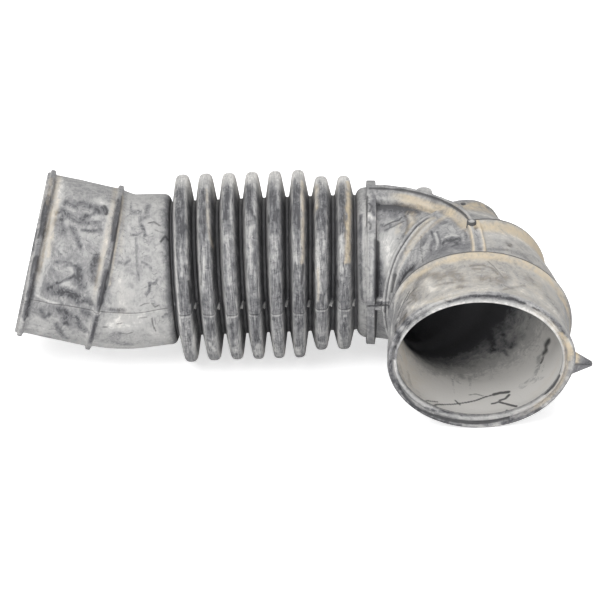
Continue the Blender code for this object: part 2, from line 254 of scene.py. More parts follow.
def cappedSkin(name, points, ends, marks, spread, look, turned=False):
    # rings of points from one end to the other, closed by a middle point at each end
    rows, cols = points.shape[:2]
    index = np.arange(rows * cols).reshape(rows, cols)
    right = np.roll(index, -1, 1)
    faces = np.stack([index[:-1], right[:-1], right[1:], index[1:]], -1).reshape(-1, 4).tolist()
    faces += np.stack([right[0], index[0], np.full(cols, rows * cols)], 1).tolist()
    faces += np.stack([index[-1], right[-1], np.full(cols, rows * cols + 1)], 1).tolist()
    faces = [face[:1] + face[:0:-1] for face in faces] if turned else faces
    mesh = bpy.data.meshes.new(name)
    mesh.from_pydata(onTable(np.vstack([points.reshape(-1, 3), *ends])).tolist(), [], faces)
    ring, place = np.divmod(np.array([corner for face in faces for corner in face]), cols)
    return finishPiece(name, mesh, np.stack([ring * spread[0], place * spread[1]], 1), marks, look)


def finishPiece(name, mesh, uv, marks, look):
    # the map is kept in units of 100 mm, the painted values one for each point
    mesh.uv_layers.new(name="skinMap").data.foreach_set("uv", uv.astype(np.float32).ravel() / 100)
    for key, values in marks.items():
        layer = mesh.attributes.new(key, "FLOAT", "POINT")
        layer.data.foreach_set("value", np.clip(values, -2, 2).astype(np.float32).ravel())
    mesh.update()
    piece = bpy.data.objects.new(name, mesh)
    bpy.context.scene.collection.objects.link(piece)
    mesh.materials.append(look)
    mesh.shade_smooth()
    mesh.set_sharp_from_angle(angle=38 * degree)
    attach(piece, "root")
    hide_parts("hose")
    print("made", name, sum(len(face.vertices) - 2 for face in mesh.polygons), "triangles")
    return piece


class Value:
    # wraps one socket, so that shader maths can be written as Python expressions
    def __init__(self, tree, socket):
        self.tree = tree
        self.socket = socket

    def math(self, operation, one, two=0.0):
        return node(self.tree, "ShaderNodeMath", {"operation": operation}, {0: one, 1: two})

    def __add__(self, other):
        return self.math("ADD", self, other)

    def __radd__(self, other):
        return self.math("ADD", other, self)

    def __sub__(self, other):
        return self.math("SUBTRACT", self, other)

    def __rsub__(self, other):
        return self.math("SUBTRACT", other, self)

    def __mul__(self, other):
        return self.math("MULTIPLY", self, other)

    def __rmul__(self, other):
        return self.math("MULTIPLY", other, self)

    def step(self, low, high):
        # smooth rise from 0 at low to 1 at high
        return node(self.tree, "ShaderNodeMapRange", {"interpolation_type": "SMOOTHSTEP"},
                    {0: self, 1: low, 2: high, 3: 0.0, 4: 1.0})

    def most(self, other):
        return self.math("MAXIMUM", self, other)


def node(tree, kind, settings, sockets, output=0):
    # adds one node: its settings first, then a number, colour or link for each named socket
    made = tree.nodes.new(kind)
    for key, value in settings.items():
        setattr(made, key, value)
    for key, value in sockets.items():
        if isinstance(value, Value):
            tree.links.new(value.socket, made.inputs[key])
        else:
            made.inputs[key].default_value = value
    return Value(tree, made.outputs[output])


def mixColour(tree, share, one, two):
    return node(tree, "ShaderNodeMix", {"data_type": "RGBA"}, {0: share, 6: one, 7: two}, 2)


# Dusty grey rubber; colours are linear; the darkest colour also serves for painted shade in grooves, and
# the lightest one also for painted highlights
rubberLook = {
    "dark": (0.055, 0.055, 0.060, 1), "rubber": (0.165, 0.165, 0.172, 1), "dust": (0.47, 0.465, 0.455, 1),
    "pale": (0.72, 0.705, 0.68, 1), "ochre": (0.60, 0.495, 0.34, 1), "crackAndShade": (0.035, 0.035, 0.038, 1),
    "roughClean": 0.52, "roughDust": 0.84, "hair": 0.34,
}


def makeRubber(name, streak):
    # dust over dark rubber, more or less by a painted mask and cloudy noise, then marks on top; the painted
    # mask also holds painted highlights and painted shade
    look = rubberLook
    material = bpy.data.materials.new(name)
    material.use_nodes = True
    tree = material.node_tree
    shader = tree.nodes["Principled BSDF"]
    place = node(tree, "ShaderNodeTexCoord", {}, {}, 3)
    skinMap = node(tree, "ShaderNodeUVMap", {"uv_map": "skinMap"}, {})

    def cloud(source, scale, detail=4.0, rough=0.55, stretch=(1, 1, 1), shift=0.0, swirl=0.0):
        spot = node(tree, "ShaderNodeMapping", {}, {0: source, 1: (shift, shift * 0.7, 0), 3: stretch})
        return node(tree, "ShaderNodeTexNoise", {},
                    {0: spot, 2: scale, 3: detail, 4: rough, "Distortion": swirl})

    def thinLines(noise, sharpness, mask, least):
        # dark hairs where one noise crosses its middle, broken up by another
        away = node(tree, "ShaderNodeMath", {"operation": "ABSOLUTE"}, {0: noise - 0.5})
        return (1.0 - away * sharpness).step(0.0, 1.0) * (mask - least).step(0.0, 0.12)

    def painted(key):
        return node(tree, "ShaderNodeAttribute", {"attribute_name": key}, {}, 2)

    tone, ochre, mark, pale, crease = [painted(k) for k in ("tone", "ochre", "mark", "pale", "crease")]
    broad = cloud(place, 26.0, 5.0, 0.6)
    patch = cloud(place, 75.0, 6.0, 0.66, shift=3.0, swirl=1.1)
    smear = cloud(place, 150.0, 4.0, 0.6, (1.0, 1.0, 0.55), 5.0, 1.6)
    grain = cloud(place, 620.0, 3.0, 0.6)
    streaks = cloud(skinMap, 9.0, 4.0, 0.6, (6.0, 0.55, 1), 1.3)
    fine = cloud(skinMap, 34.0, 4.0, 0.62, (5.0, 0.5, 1), 7.7)
    scuff = cloud(place, 230.0, 3.0, 0.6, (1.0, 0.8, 0.8), 9.0, 2.2)
    hair = thinLines(cloud(place, 88.0, 2.0, 0.5, (1.0, 0.8, 1.25), 11.0, 2.6), 34.0, smear, 0.45)
    lines = thinLines(cloud(skinMap, 13.0, 2.0, 0.5, (8.0, 0.35, 1), 4.4), 26.0, streaks, 0.42)
    # the sum: the painted tone, which also holds painted highlights and painted shade, plus cloudy noise
    # and marks for the dust; low values go dark, high ones whitish
    dirtAndShading = tone + (broad - 0.5) * 0.7 + (patch - 0.5) * 1.1 + (smear - 0.5) * 0.9 + (scuff - 0.5) * 0.8
    dirtAndShading = dirtAndShading + (streaks - 0.5) * streak + (fine - 0.5) * (streak * 1.1) + (grain - 0.5) * 0.35
    dirtAndShading = dirtAndShading - hair * look["hair"] - lines * (streak * 0.4)
    broken = (scuff * 0.8 + patch * 0.5 - 0.42).step(0.0, 0.42)
    dirtAndShading = dirtAndShading - mark * broken * (1.55 - streak * 0.4) + pale * (0.1 + (patch * 0.45 + scuff * 0.6))
    dustAndLight = dirtAndShading.step(0.0, 1.0)
    colour = mixColour(tree, dustAndLight, look["rubber"], look["dust"])
    colour = mixColour(tree, (0.18 - dirtAndShading).step(0.0, 0.55), colour, look["dark"])
    colour = mixColour(tree, (dirtAndShading - 0.95).step(0.0, 0.6), colour, look["pale"])
    ochreShare = (ochre * (0.34 + (patch - 0.3) * 1.6 + (scuff - 0.4) * 1.0)).step(0.0, 1.0) * 0.78
    colour = mixColour(tree, ochreShare, colour, look["ochre"])
    # the layer for cracks darkens cracks, scratches and the parting line, and is also painted shade in
    # grooves, fold roots and far inside the bore
    shadeAndCrackShare = (crease * (0.62 + scuff * 0.6)).step(0.1, 1.0)
    colour = mixColour(tree, shadeAndCrackShare * 0.88, colour, look["crackAndShade"])
    tree.links.new(colour.socket, shader.inputs["Base Color"])
    rough = look["roughClean"] + (look["roughDust"] - look["roughClean"]) * dustAndLight
    tree.links.new((rough + (grain - 0.5) * 0.08).socket, shader.inputs["Roughness"])
    height = (patch - 0.5) * 0.35 + (fine - 0.5) * 0.5 * streak + (grain - 0.5) * 0.22 - hair * 0.15
    relief = node(tree, "ShaderNodeBump", {}, {"Strength": 0.5, "Distance": 0.0006, "Height": height})
    tree.links.new(relief.socket, shader.inputs["Normal"])
    shader.inputs["Specular IOR Level"].default_value = 0.42
    return material


# Cuff: end lip, rim bead, clamp seat, second bead, and the neck up to the first root
cuff = {
    "radius": 40.25, "wall": 3.0, "lipLength": 1.4, "lipRadius": 40.9, "beadRadius": 42.4, "beadWidth": 2.9,
    "secondBeadAt": 37.5, "secondBeadRadius": 41.9, "secondBeadWidth": 3.2, "neckLarge": 39.65,
    "neckSmall": 37.75, "neckEnd": 72.8, "neckRounding": 3.4, "rootRadius": 33.6, "bellowsWall": 2.2,
    "tubeWall": 2.75, "end": 73.18, "columns": 440,
}


cuffStrokes = {
    "mark": [
        (2, 0.9, 8.4, 64, 11, 68, 13, 63, 10.6, 59),
        (3, 0.75, 11.8, 74, 16.4, 73, 20.5, 77, 25.2, 76, 28, 73),
        (2.2, 0.8, 13.8, 65, 16.7, 62, 20.4, 61, 22.7, 66, 26.3, 70),
        (1.2, 0.7, 20.4, 60.6, 25.3, 61.4, 29.5, 63.8), (1.2, 0.6, 22.1, 54.9, 27, 55.6, 31.7, 58.1),
        (3, 0.6, 7.8, 57, 10.9, 56, 13.1, 51), (1.8, 0.6, 17.1, 55, 19.8, 50, 22.7, 43),
        (2.2, 0.9, 30.1, 77, 32.5, 73), (3.6, 0.75, 32.1, 37, 31, 31, 33.2, 23),
        (3.2, 0.85, 24.3, 26, 25.6, 20, 28.6, 16), (1.1, 0.8, 14.6, 13.2, 18.6, 16.7, 22, 20.7, 24.2, 26.4),
        (3.4, 0.95, 12.6, 10, 16.8, 8, 21, 10, 25.9, 7), (1, 0.7, 17.9, 28.1, 22.8, 28.9, 26.1, 27),
        (1, 0.6, 12.8, 28.7, 17.6, 30.2, 20.7, 29.7), (3.4, 0.75, 19.5, -6, 23.9, -9, 23.9, -18),
        (2.6, 0.8, 28.2, -11, 31.1, -19, 34.4, -22), (2.2, 0.7, 20.2, -21, 22.1, -32, 25.6, -40),
        (1.6, 0.6, 10, -10, 12.8, -17, 15.2, -12), (2.4, 0.7, 31.3, -3, 34.7, -6),
        (2, 0.6, 27.4, 3, 31.1, 6, 34.4, 4),
        (0.8, 0.6, 4.6, 100.3, 5.2, 74.7, 5.4, 55.7, 5.8, 38.8, 6.3, 22.4),
        (2.4, 1, 2.1, 73, 2.1, 62, 2.6, 54, 4.2, 45), (2.2, 0.8, 3.5, 28, 5, 21),
        (1.6, 0.7, 3.6, 17, 4.1, 6, 4.2, -7, 4.1, -20), (1.2, 0.8, 0.8, 56.9, 0.6, 43.5, 0.6, 33.6),
        (1.6, 0.9, 36.6, 86, 37, 67, 38, 52), (1.8, 1, 37.8, 29, 38, 18, 38.3, 7),
        (1.4, 0.8, 38.2, -4.8, 38.1, -16.3, 37.6, -32.1), (3, 0.65, 51.7, 92, 52.9, 82, 58.5, 80),
        (2.2, 0.6, 63.1, 88, 62.7, 77, 60, 72), (1.2, 0.8, 59, 75.3, 59.9, 68.4, 61.3, 63, 61.7, 57.8),
        (0.9, 0.8, 53.9, 59, 58, 58.9, 60.4, 61.3), (1.4, 0.6, 52.4, 67.5, 55.1, 65),
        (0.7, 0.7, 57.5, 56.5, 57.4, 45.4, 57.3, 36.5, 57.7, 24.7),
        (0.9, 0.6, 59.8, 37.7, 62.5, 35.2, 63.8, 32.9), (1, 0.7, 62.8, 21.8, 64.7, 20.8, 66.3, 23.6),
        (1, 0.7, 60.9, 13.6, 62.1, 16.5, 62.7, 20.3), (1, 0.6, 44.4, 37.7, 49.1, 36.6, 52.9, 39.6),
        (0.8, 0.5, 52.6, 22.1, 53.7, 19.1), (1.8, 0.9, 44.2, 2, 46.5, 1, 48.7, 2),
        (3.6, 0.6, 47.5, -21, 45.6, -33, 49.5, -38), (1.2, 0.6, 67.5, -7.2, 69.1, -4.9),
    ],
    "crease": [
        (1.1, 1, 30.6, 79.4, 32.5, 75.6, 32.2, 71.6),
        (0.8, 0.9, 1.6, 68.3, 1.6, 58.6, 2.2, 49.1, 1.8, 42.1), (0.8, 0.8, 1.9, 28.5, 2, 23.1, 2.3, 16.2),
        (0.7, 0.8, 38, 92, 38.6, 66.3, 39.1, 48.3, 39.5, 29.5, 39.6, 16.4), (0.8, 0.8, 38.6, 7.1, 38.4, 1),
        (0.8, 0.85, 63.7, 69.1, 66, 69.9, 68.7, 66.1), (0.7, 0.6, 66.4, 62.6, 69.6, 60.1),
        (0.9, 1, 69, 52.5, 70, 54.8, 71.2, 57.1, 72.3, 54.5), (0.7, 0.8, 41.8, -15.2, 43.3, -14.7),
        (0.7, 0.7, 46.9, -10.9, 48.8, -9.8), (0.6, 0.7, 48.2, -20.8, 50.6, -22, 52.8, -19.8),
        (0.7, 0.6, 55.8, -5.6, 59.7, -5.5), (0.6, 0.7, 56.9, 4.7, 59.5, 6.3, 61.4, 6.3),
        (0.7, 0.7, 62.9, 6.1, 64.1, 2.5, 66.2, 3.9), (0.7, 0.8, 62, -7, 62, -14.3, 63, -21.8),
        (0.6, 0.6, 63.5, -7.4, 63.6, -13.6),
    ],
    "pale": [
        (2.6, 0.85, 19.3, 15, 22.1, 13), (1.8, 0.8, 20.1, 27, 21.6, 24),
        (3.4, 0.6, 28.9, 18, 33, 14, 35.4, 11), (2.4, 0.7, 24.9, 69, 28.1, 67),
        (2.2, 0.6, 13.1, 71, 15.8, 69), (3.6, 0.5, 10.1, -21, 14.1, -26, 12.6, -44),
        (1.4, 0.7, 6.1, -35.5, 8.3, -30.3), (0.9, 0.95, 7, 2, 9.8, 0.4, 14, -1.4, 17, -1.3),
        (3, 1.2, 6.4, 107, 7.6, 87, 8.2, 73), (1.3, 1, 7.6, 70.8, 6.7, 63.4, 7.3, 51.7, 7.8, 43),
        (2.4, 0.9, 7.5, 43, 7.7, 32, 7.9, 22), (1.5, 0.8, 7.3, 18.4, 7.1, 10.8, 6.9, 2.8),
        (2.6, 1.1, 34.2, 82, 33.6, 63, 34.9, 48, 35.4, 40), (2, 0.8, 35.2, 40, 35.4, 30, 35.6, 20),
        (2.4, 0.8, 27.9, 85, 30.2, 81), (1.6, 0.7, 35.4, 15, 35.9, 4, 35.8, -11, 35.4, -35),
        (0.7, 1, 0.2, 89.8, 0.4, 69.3, 0.6, 54.5, 1.1, 40.8, 1.4, 28.3),
        (0.7, 1, 1.1, 23.9, 1.4, 11.5, 1.6, -0.6, 1.7, -13.9, 1.4, -36.4), (1.6, 0.8, 2.2, -19, 1.9, -45),
        (1, 0.9, 37.1, -0.1, 38.8, -2.2), (2.8, 0.6, 50, 64, 56.8, 70, 58.1, 74),
        (8, 0.42, 46.2, 28, 51.4, 16, 49.4, 10), (7, 0.62, 44.9, -9, 50, -12, 55.1, -9),
        (4, 0.5, 60.1, -20, 63.5, -29),
    ],
    "ochre": [
        (2.4, 0.55, 7.6, 76, 7.5, 52, 8.3, 32), (2.2, 0.5, 34.1, 72, 34.4, 51, 35.2, 40),
        (1.6, 0.5, 2, 95, 2.5, 78, 2.7, 68), (1.2, 0.6, 38.7, 95.1, 39.7, 65.6, 40.1, 44.3, 41.1, 20.5),
        (3.2, 0.32, 41.1, 83, 43.5, 58, 44.9, 45), (8, 0.16, 45.3, 25, 49.4, 13, 48, -9),
    ],
}


def makeCuff(look):
    c = cuff
    rim = c["lipLength"]
    half = c["secondBeadWidth"] / 2
    bow = c["neckRounding"]
    corners = [(0, c["lipRadius"] - 0.5, 0), (0.5, c["lipRadius"], 0.3), (rim - 0.1, c["lipRadius"], 0.1),
               (rim + 0.05, c["beadRadius"] - 0.35, 0.3), (rim + 0.5, c["beadRadius"], 0.5),
               (rim + c["beadWidth"] - 0.5, c["beadRadius"], 0.7),
               (rim + c["beadWidth"], c["radius"], 0.7),
               (c["secondBeadAt"] - half, c["radius"], 0.7),
               (c["secondBeadAt"] - half * 0.72, c["secondBeadRadius"], 0.45),
               (c["secondBeadAt"] + half * 0.6, c["secondBeadRadius"], 0.5),
               (c["secondBeadAt"] + half, c["neckLarge"], 0.8),
               (c["neckEnd"] - bow, c["neckSmall"], 0.6)]
    corners += [(c["neckEnd"] - bow * (1 - math.sin(t)), c["neckSmall"] - bow * (1 - math.cos(t)), 0)
                for t in np.linspace(15, 90, 6) * degree]
    corners += [(c["neckEnd"], c["rootRadius"] + 0.5, 0.3), (c["end"], c["rootRadius"], 0)]
    s, r = profile(corners, 0.62)
    phi = columns(c["columns"], [(0, 3.0, 2.2), (180, 3.0, 1.0)])
    S, F = grid(s, phi)
    R = r[:, None] + 0 * F
    body = smoothStep(S, 2.5, 7) * (1 - smoothStep(S, 66, 71))
    R = R + 0.28 * wobble(S, F, 11, 60) * body + 0.1 * wobble(S, F, 12, 16)
    R = R + partingLine(S, F, R) * (1 - smoothStep(S, 69, 71))
    outer = skin(S, F, R)
    inCorners = [(c["end"], c["rootRadius"] - c["bellowsWall"], 0),
                 (c["neckEnd"] - 2.6, c["neckSmall"] - c["tubeWall"] * 1.3, 3),
                 (56, 38.5 - c["tubeWall"], 4), (c["secondBeadAt"], c["radius"] - c["wall"], 3),
                 (0.5, c["radius"] - c["wall"], 0.4), (0, c["radius"] - c["wall"] + 0.5, 0)]
    si, ri = innerProfile(inCorners, 1.6)
    inS, inF = grid(si, phi)
    inner = skin(inS, inF, ri[:, None] + 0.15 * wobble(inS, inF, 13, 40))
    # painted shade: darker where the neck rounds over into the first groove, from 68 to 72 mm
    tone = 0.45 + 0.2 * smoothStep(S, 40, 46) - 0.5 * smoothStep(S, 68, 72)
    tone = tone + 0.1 * smoothStep(np.sin(F), 0.6, 0.95) + 0.16 * smoothStep(-np.sin(F), 0.0, 0.4)
    beads = bump(S - rim - 1.4, 1.7) + bump(S - c["secondBeadAt"], 1.5)
    tone = tone - 0.32 * beads
    pale = 0.8 * bump(S - rim - 0.05, 0.3) + 0.5 * bump(S - c["secondBeadAt"] + half * 0.9, 0.35)
    ochre = 0.55 * bump(S - rim - c["beadWidth"] - 1.6, 1.8)
    ochre = (ochre + 0.5 * bump(S - c["secondBeadAt"] + half + 1.4, 1.6)) * smoothStep(np.sin(F), -0.1, 0.5)
    near = (F - partingAngle(S)) * R
    crease = 0.75 * bump(near, 0.3) * (1 - smoothStep(S, 70, 72))
    # painted shade in the groove down to the first root, where the radius is small
    crease = crease + 0.9 * (1 - smoothStep(R, 34.6, 36.6)) * (S > 60)
    marks = paint(S, F, tone, cuffStrokes, ochre=ochre, pale=pale, crease=crease)
    return closedSkin("hose_cuff", outer, inner, joined(marks, paint(inS, inF, 0.3, {})), look)


# Bellows: six large folds and two small ones
bellows = {
    "folds": 8, "largeFolds": 6, "pitch": 11.24, "width": 9.8, "crest": 46.85, "smallCrest": 43.4,
    "root": 33.6, "wall": 2.2, "start": 73.18, "end": 163.58, "columns": 430,
    "crestWidth": 5.3, "edgeRounding": 2.3,
    "outerRows": [0.8, 1.5, 2.0, 2.4, 2.75, 3.1, 3.6, 4.2, 4.8, 5.1],   # distances from a fold's middle
    "innerRows": [1.2, 3.2],
    "shift": [0.3, 0.5, 0.9, 0.7, 0.35, 0, -0.1, -0.1],      # each fold's offset along the duct
    "lean": [-0.4, -0.5, -0.5, 0, 0.5, 1.33, 1.4, 1.5],      # and how much further it is at the top
    "websUpTo": 40.5,                                        # flash across each groove on the parting line
}


bellowsStrokes = {
    "mark": [
        (2.6, 0.9, 79, 87, 78.7, 73, 79.1, 62, 79.5, 54),
        (2.2, 0.9, 90.3, 86, 90.4, 72, 90.8, 60, 91.6, 52), (2.2, 0.85, 102, 87, 102.1, 73, 101.6, 63),
        (2.6, 0.85, 112.8, 88, 112.4, 75, 113.3, 65), (2.8, 0.85, 123.6, 80, 125.5, 68, 124.4, 59),
        (2.4, 0.85, 135.4, 89, 135.3, 71, 136.1, 56),
        (1.4, 0.9, 147.1, 103.6, 147.5, 79.2, 148.3, 64.4, 148.6, 53.4),
        (2.8, 0.85, 157.8, 95, 158.1, 76, 158.8, 64, 157.9, 57), (1.6, 0.7, 91.5, -6, 92, -15),
        (1.8, 0.6, 101.8, -7, 102, -25), (1.8, 0.7, 113.7, -5, 113.5, -20), (2, 0.6, 134.7, -8, 134.6, -27),
        (1.6, 0.6, 157.3, -14, 157.6, -25),
    ],
    # lighter lines round the folds, most on the crests and just beside them: partly dust and partly painted
    # highlight on the fold edges
    "pale": [
        (0.9, 1.1, 75.7, 80.6, 75.7, 60.1, 75.7, 43.2, 75.9, 27.4, 76.2, 11.5, 76.2, -6.7),
        (0.8, 0.9, 78.9, 44.2, 78.9, 35.2, 78.8, 26.8), (1.3, 0.8, 80.9, 104, 81.4, 79.1, 81.4, 61.4),
        (1.1, 0.8, 81.4, 54.4, 81, 35.1), (0.8, 0.9, 87.1, 74.9, 86.9, 52.6, 87.1, 29.9, 87.3, 10.6),
        (1.1, 1, 91.6, 91.5, 91.8, 72.8, 92.2, 60.2, 92.1, 48.1),
        (1.3, 0.8, 90.5, 44.9, 89.6, 29.8, 89.1, 16.5), (0.8, 0.8, 98, 80.5, 98, 49, 98.1, 26, 98.3, 5.6),
        (1, 0.9, 103.8, 99.8, 103.7, 76.6, 103.5, 62.2), (1.6, 0.8, 100.9, 50, 101.5, 36, 101.5, 22),
        (0.8, 0.8, 109.2, 81, 109.2, 48.8, 109.2, 21.9, 110.1, 3.5),
        (1, 0.9, 115, 91.7, 114.8, 75.2, 115.2, 64.5), (1.4, 0.9, 112.7, 54.5, 112.4, 40.8, 112.5, 27.6),
        (0.8, 0.7, 121.1, 82.4, 120.7, 48, 120.5, 21.4, 120.9, 4.2),
        (1.1, 0.9, 126.3, 96, 126.5, 76.5, 126.7, 68.5), (1.6, 0.8, 123.3, 49, 123.9, 37, 123.2, 30),
        (1.2, 0.7, 125.7, 48.9, 125.4, 37.8), (0.8, 0.8, 131.7, 77.9, 131.1, 41.7, 130.7, 12.2),
        (1, 0.9, 138.3, 92.6, 138.1, 66.5, 138, 46, 137.5, 34.9),
        (1.6, 0.8, 133.5, 54, 134.3, 43, 134.6, 33), (1, 0.7, 133.3, 99.2, 132.8, 73.5),
        (1.4, 0.9, 145.3, 89.5, 145.2, 72.9), (1.3, 1, 145.3, 46.8, 145.2, 32.2, 145.3, 17.1, 144.5, 6.6),
        (1.1, 0.8, 148.1, 54.8, 147.8, 38.6), (1.2, 0.6, 160.6, 101, 160.6, 71.8),
        (1.2, 0.9, 156.8, 49, 156.7, 36.3, 156.3, 25.1), (1, 0.7, 155.2, 82.5, 154.8, 67.8),
        (1, 1.3, 157.7, -6.1), (1.6, 0.8, 82.5, -17, 82.2, -33), (1.2, 0.8, 90.2, -21.7, 92.3, -31.1),
        (1.4, 0.7, 103.2, -20, 102.5, -34.6), (1.6, 0.7, 113.8, -26, 112.9, -39),
        (1.6, 0.7, 123, -33, 124.2, -43), (1.8, 0.8, 133, -32, 133.7, -41),
        (1.6, 0.7, 144.5, -33, 147.4, -38), (1.2, 0.8, 154.1, -24.1, 155.2, -46.5),
    ],
    "ochre": [
        (1.2, 0.5, 91.7, 86.8, 92.2, 58.1, 93.8, 45.7),
        (1.4, 0.7, 138.5, 93.3, 138.6, 65.4, 138.2, 43, 137.5, 32.5), (1.8, 0.7, 145.3, 95, 145.2, 71),
        (1, 0.5, 145.1, 28.3, 144.7, 6.7), (1.8, 0.9, 160.4, 100, 160.6, 73, 160, 53, 159.2, 32),
        (1.5, 0.5, 154.8, 108.3),
    ],
    "crease": [
        (0.8, 1, 81.7, 23.3, 82.2, 17.3, 82.1, 8.8), (0.6, 0.7, 88.2, 39.1, 88.4, 29.9, 87.8, 20.6),
        (0.6, 0.7, 93.9, 29.5, 93.9, 16.5), (0.6, 0.6, 115.4, 28.6, 115.2, 9.7),
        (0.8, 0.8, 126.1, 19.6, 126.4, 14.4), (0.9, 1, 137.9, 30.6, 137.5, 24.6, 136.8, 19.2),
        (0.7, 0.8, 136.9, 14.1, 137.2, 6.7), (0.8, 0.8, 142.7, 32.4, 143, 25.4),
        (0.9, 0.9, 147.1, 9.6, 146.9, 3.9), (0.8, 0.8, 154.6, 18.8, 154.8, 14.7),
        (0.8, 0.7, 153.3, 5.3, 155.2, 4.4), (0.8, 0.8, 121.5, 63.8, 121.9, 58.9),
        (0.8, 0.7, 114.7, 62.8, 115.6, 61.2), (0.7, 0.7, 132.8, 71.8, 132.4, 63),
        (0.7, 0.7, 143, -4.4, 143.1, -10.1),
    ],
}


def foldCrest(s):
    b = bellows
    index = np.round((s - route["firstFold"]) / b["pitch"])
    return np.where(index < b["largeFolds"], b["crest"], b["smallCrest"])


def foldCorners(wall):
    # each fold has a nearly flat crest, rounded edges and straight flanks
    b = bellows
    corners = []
    for index in range(b["folds"]):
        s = route["firstFold"] + index * b["pitch"]
        crest = (b["crest"] if index < b["largeFolds"] else b["smallCrest"]) - wall
        foot, edge = b["width"] / 2 - wall * 0.8, b["crestWidth"] / 2 - wall * 0.6
        corners += [(s - foot, b["root"] - wall, 0.6), (s - edge, crest, b["edgeRounding"]),
                    (s + edge, crest, b["edgeRounding"]), (s + foot, b["root"] - wall, 0.6)]
    return [(b["start"], b["root"] - wall, 0)] + corners + [(b["end"], b["root"] - wall, 0)]


def foldRows(wall, offsets):
    # the fold's outline, read off at a few chosen places in each fold
    b = bellows
    s, r = profile(foldCorners(wall), 0.3)
    places = route["firstFold"] + np.arange(b["folds"])[:, None] * b["pitch"]
    rows = (places + np.concatenate([-np.array(offsets)[::-1], [0], offsets])).ravel()
    rows = rows[(rows > b["start"] + 0.1) & (rows < b["end"] - 0.1)]
    rows = np.concatenate([[b["start"]], rows, [b["end"]]])
    return rows, np.interp(rows, s, r)


def makeBellows(look):
    b = bellows
    places = route["firstFold"] + np.arange(b["folds"]) * b["pitch"]

    def leaned(S, F):
        knots = [b["start"]] + list(places) + [b["end"]]
        lean = np.interp(S, knots, [0] + b["lean"] + [0]) * np.sin(F)
        return S + np.interp(S, knots, [0] + b["shift"] + [0]) + lean

    s, r = foldRows(0, b["outerRows"])
    phi = columns(b["columns"], [(0, 3.5, 1.8), (180, 3.0, 0.6)])
    S, F = grid(s, phi)
    R = r[:, None] + 0 * F
    rise = (R - b["root"]) / (foldCrest(S) - b["root"])
    off = S - places[np.abs(S[..., None] - places).argmin(-1)]
    shape = paint(leaned(S, F), F, 0, bellowsStrokes)
    R = R + 0.25 * rise * wobble(S, F, 21, 30) + 0.12 * rise * wobble(S, 3 * F, 22, 9)
    R = R + 1.3 * partingLine(S, F, R) * smoothStep(rise, 0.2, 0.6) - 0.3 * shape["crease"] * (rise > 0.3)
    near = (F - partingAngle(S)) * R
    web = b["websUpTo"] - b["root"] - 1.2 * np.abs(off - 5.6)
    web = b["root"] + web * (1 - smoothStep(np.abs(near + 0.3), 0.4, 0.9))
    webbed = smoothStep(web - R, 0, 1) * (S < b["end"] - 1)
    R = np.maximum(R, np.where(S < b["end"] - 1, web, 0))
    outer = skin(leaned(S, F), F, R)
    si, ri = [x[::-1] for x in foldRows(b["wall"], b["innerRows"])]
    inS, inF = grid(si, phi)
    inner = skin(leaned(inS, inF), inF, ri[:, None] + 0 * inF)
    upper = smoothStep(np.sin(F), -0.35, 0.1)
    flank = off / (b["width"] / 2)
    # painted light from the left and from above: crests lighter than the roots, each fold's left flank
    # lighter, a thinner light line at its right edge and the right side beyond it darker, the fold tops
    # much lighter; lower down both flank edges and the lower side lighter
    tone = 0.2 * smoothStep(rise, 0.35, 0.95)
    tone = tone + upper * (0.44 * bump(flank + 0.6, 0.15) + 0.22 * bump(flank - 0.55, 0.12)
                           - 0.14 * smoothStep(flank, 0.62, 0.9))
    tone = tone + (1 - upper) * (0.5 * bump(np.abs(flank) - 0.6, 0.12) + 0.2)
    tone = tone + 1.2 * smoothStep(F / degree, 80, 108) * (1 - 0.6 * smoothStep(F / degree, 150, 200))
    tone = tone + 0.4 * smoothStep(-F, 44 * degree, 58 * degree)
    # painted shade in the roots between the folds, less on the lower side, with the dark parting-line
    # groove
    crease = 0.85 * (1 - smoothStep(rise, 0.05, 0.5)) * (1 - smoothStep(-np.sin(F), 0.55, 0.9) * 0.5)
    crease = np.maximum(crease, 0.75 * bump(near, 0.32) * (rise > 0.3))
    crease = crease * (1 - bump(near + 0.3, 0.8) * (rise < 0.3))
    marks = paint(leaned(S, F), F, tone + 0.5 * webbed, bellowsStrokes, crease=crease * (1 - webbed),
                  pale=0.55 * bump(near + 0.75, 0.4) * smoothStep(rise, 0.5, 0.8) + 0.8 * webbed)
    return closedSkin("hose_bellows", outer, inner, joined(marks, paint(inS, inF, 0.1, {})), look)


# Elbow: shoulder, square rib, grooved ring, half ring, crown rib with its ledge, and the flare
elbow = {
    "start": 163.58, "root": 33.6, "tube": 37.5, "wall": 2.75, "shoulderRounding": 4.6,
    "squareRibAt": 170.88, "squareRibRadius": 40.9, "squareRibWidth": 4.4,
    "ringAngle": 45.6, "ringRadius": 43.4, "ringWidth": 4.8, "ringGroove": 0.8, "sleeve": 40.2,
    "halfRingAngle": 67.5, "halfRingHeight": 3.6, "halfRingWidth": 3.4, "halfRingFull": 160,
    "halfRingEnd": 230, "mouthWidth": 44.4, "mouthHeight": 38.7, "foot": 0.5,
    "crownHeight": 43.9, "crownStart": 1.0, "crownEnd": 67.5, "bandHeight": 1.1, "webRadius": 40.9,
    "columns": 400,
    "ringLower": ([-58, -28, 0, 16, 40, 64, 73, 80, 92, 97, 112, 142],    # at these degrees round,
                  [0, 0.8, 0.9, 0.7, 0, 0, 0.45, 1, 1, 0.6, 0.5, 0]),     # this share of the ring is gone
}
crownPath = [   # angle, near edge, far edge, end of the ledge or fillet, its height, its drop
    (0, 0.9, -2.0, 6.3, 39.7, 3.2), (10, 0.2, -2.6, 5.8, 39.7, 3.2), (20, -0.8, -3.3, 4.3, 39.5, 3.0),
    (30, -1.2, -3.4, 3.7, 39.1, 2.2), (40, -1.6, -3.8, 2.1, 38.6, 1.4), (46, -1.9, -4.5, 6.4, 39.3, 1.0),
    (54, -2.0, -4.9, 6.6, 39.3, 1.0), (61, -1.7, -4.0, 6.2, 39.4, 1.0), (68, -0.7, -3.0, 5.6, 39.5, 1.0),
]


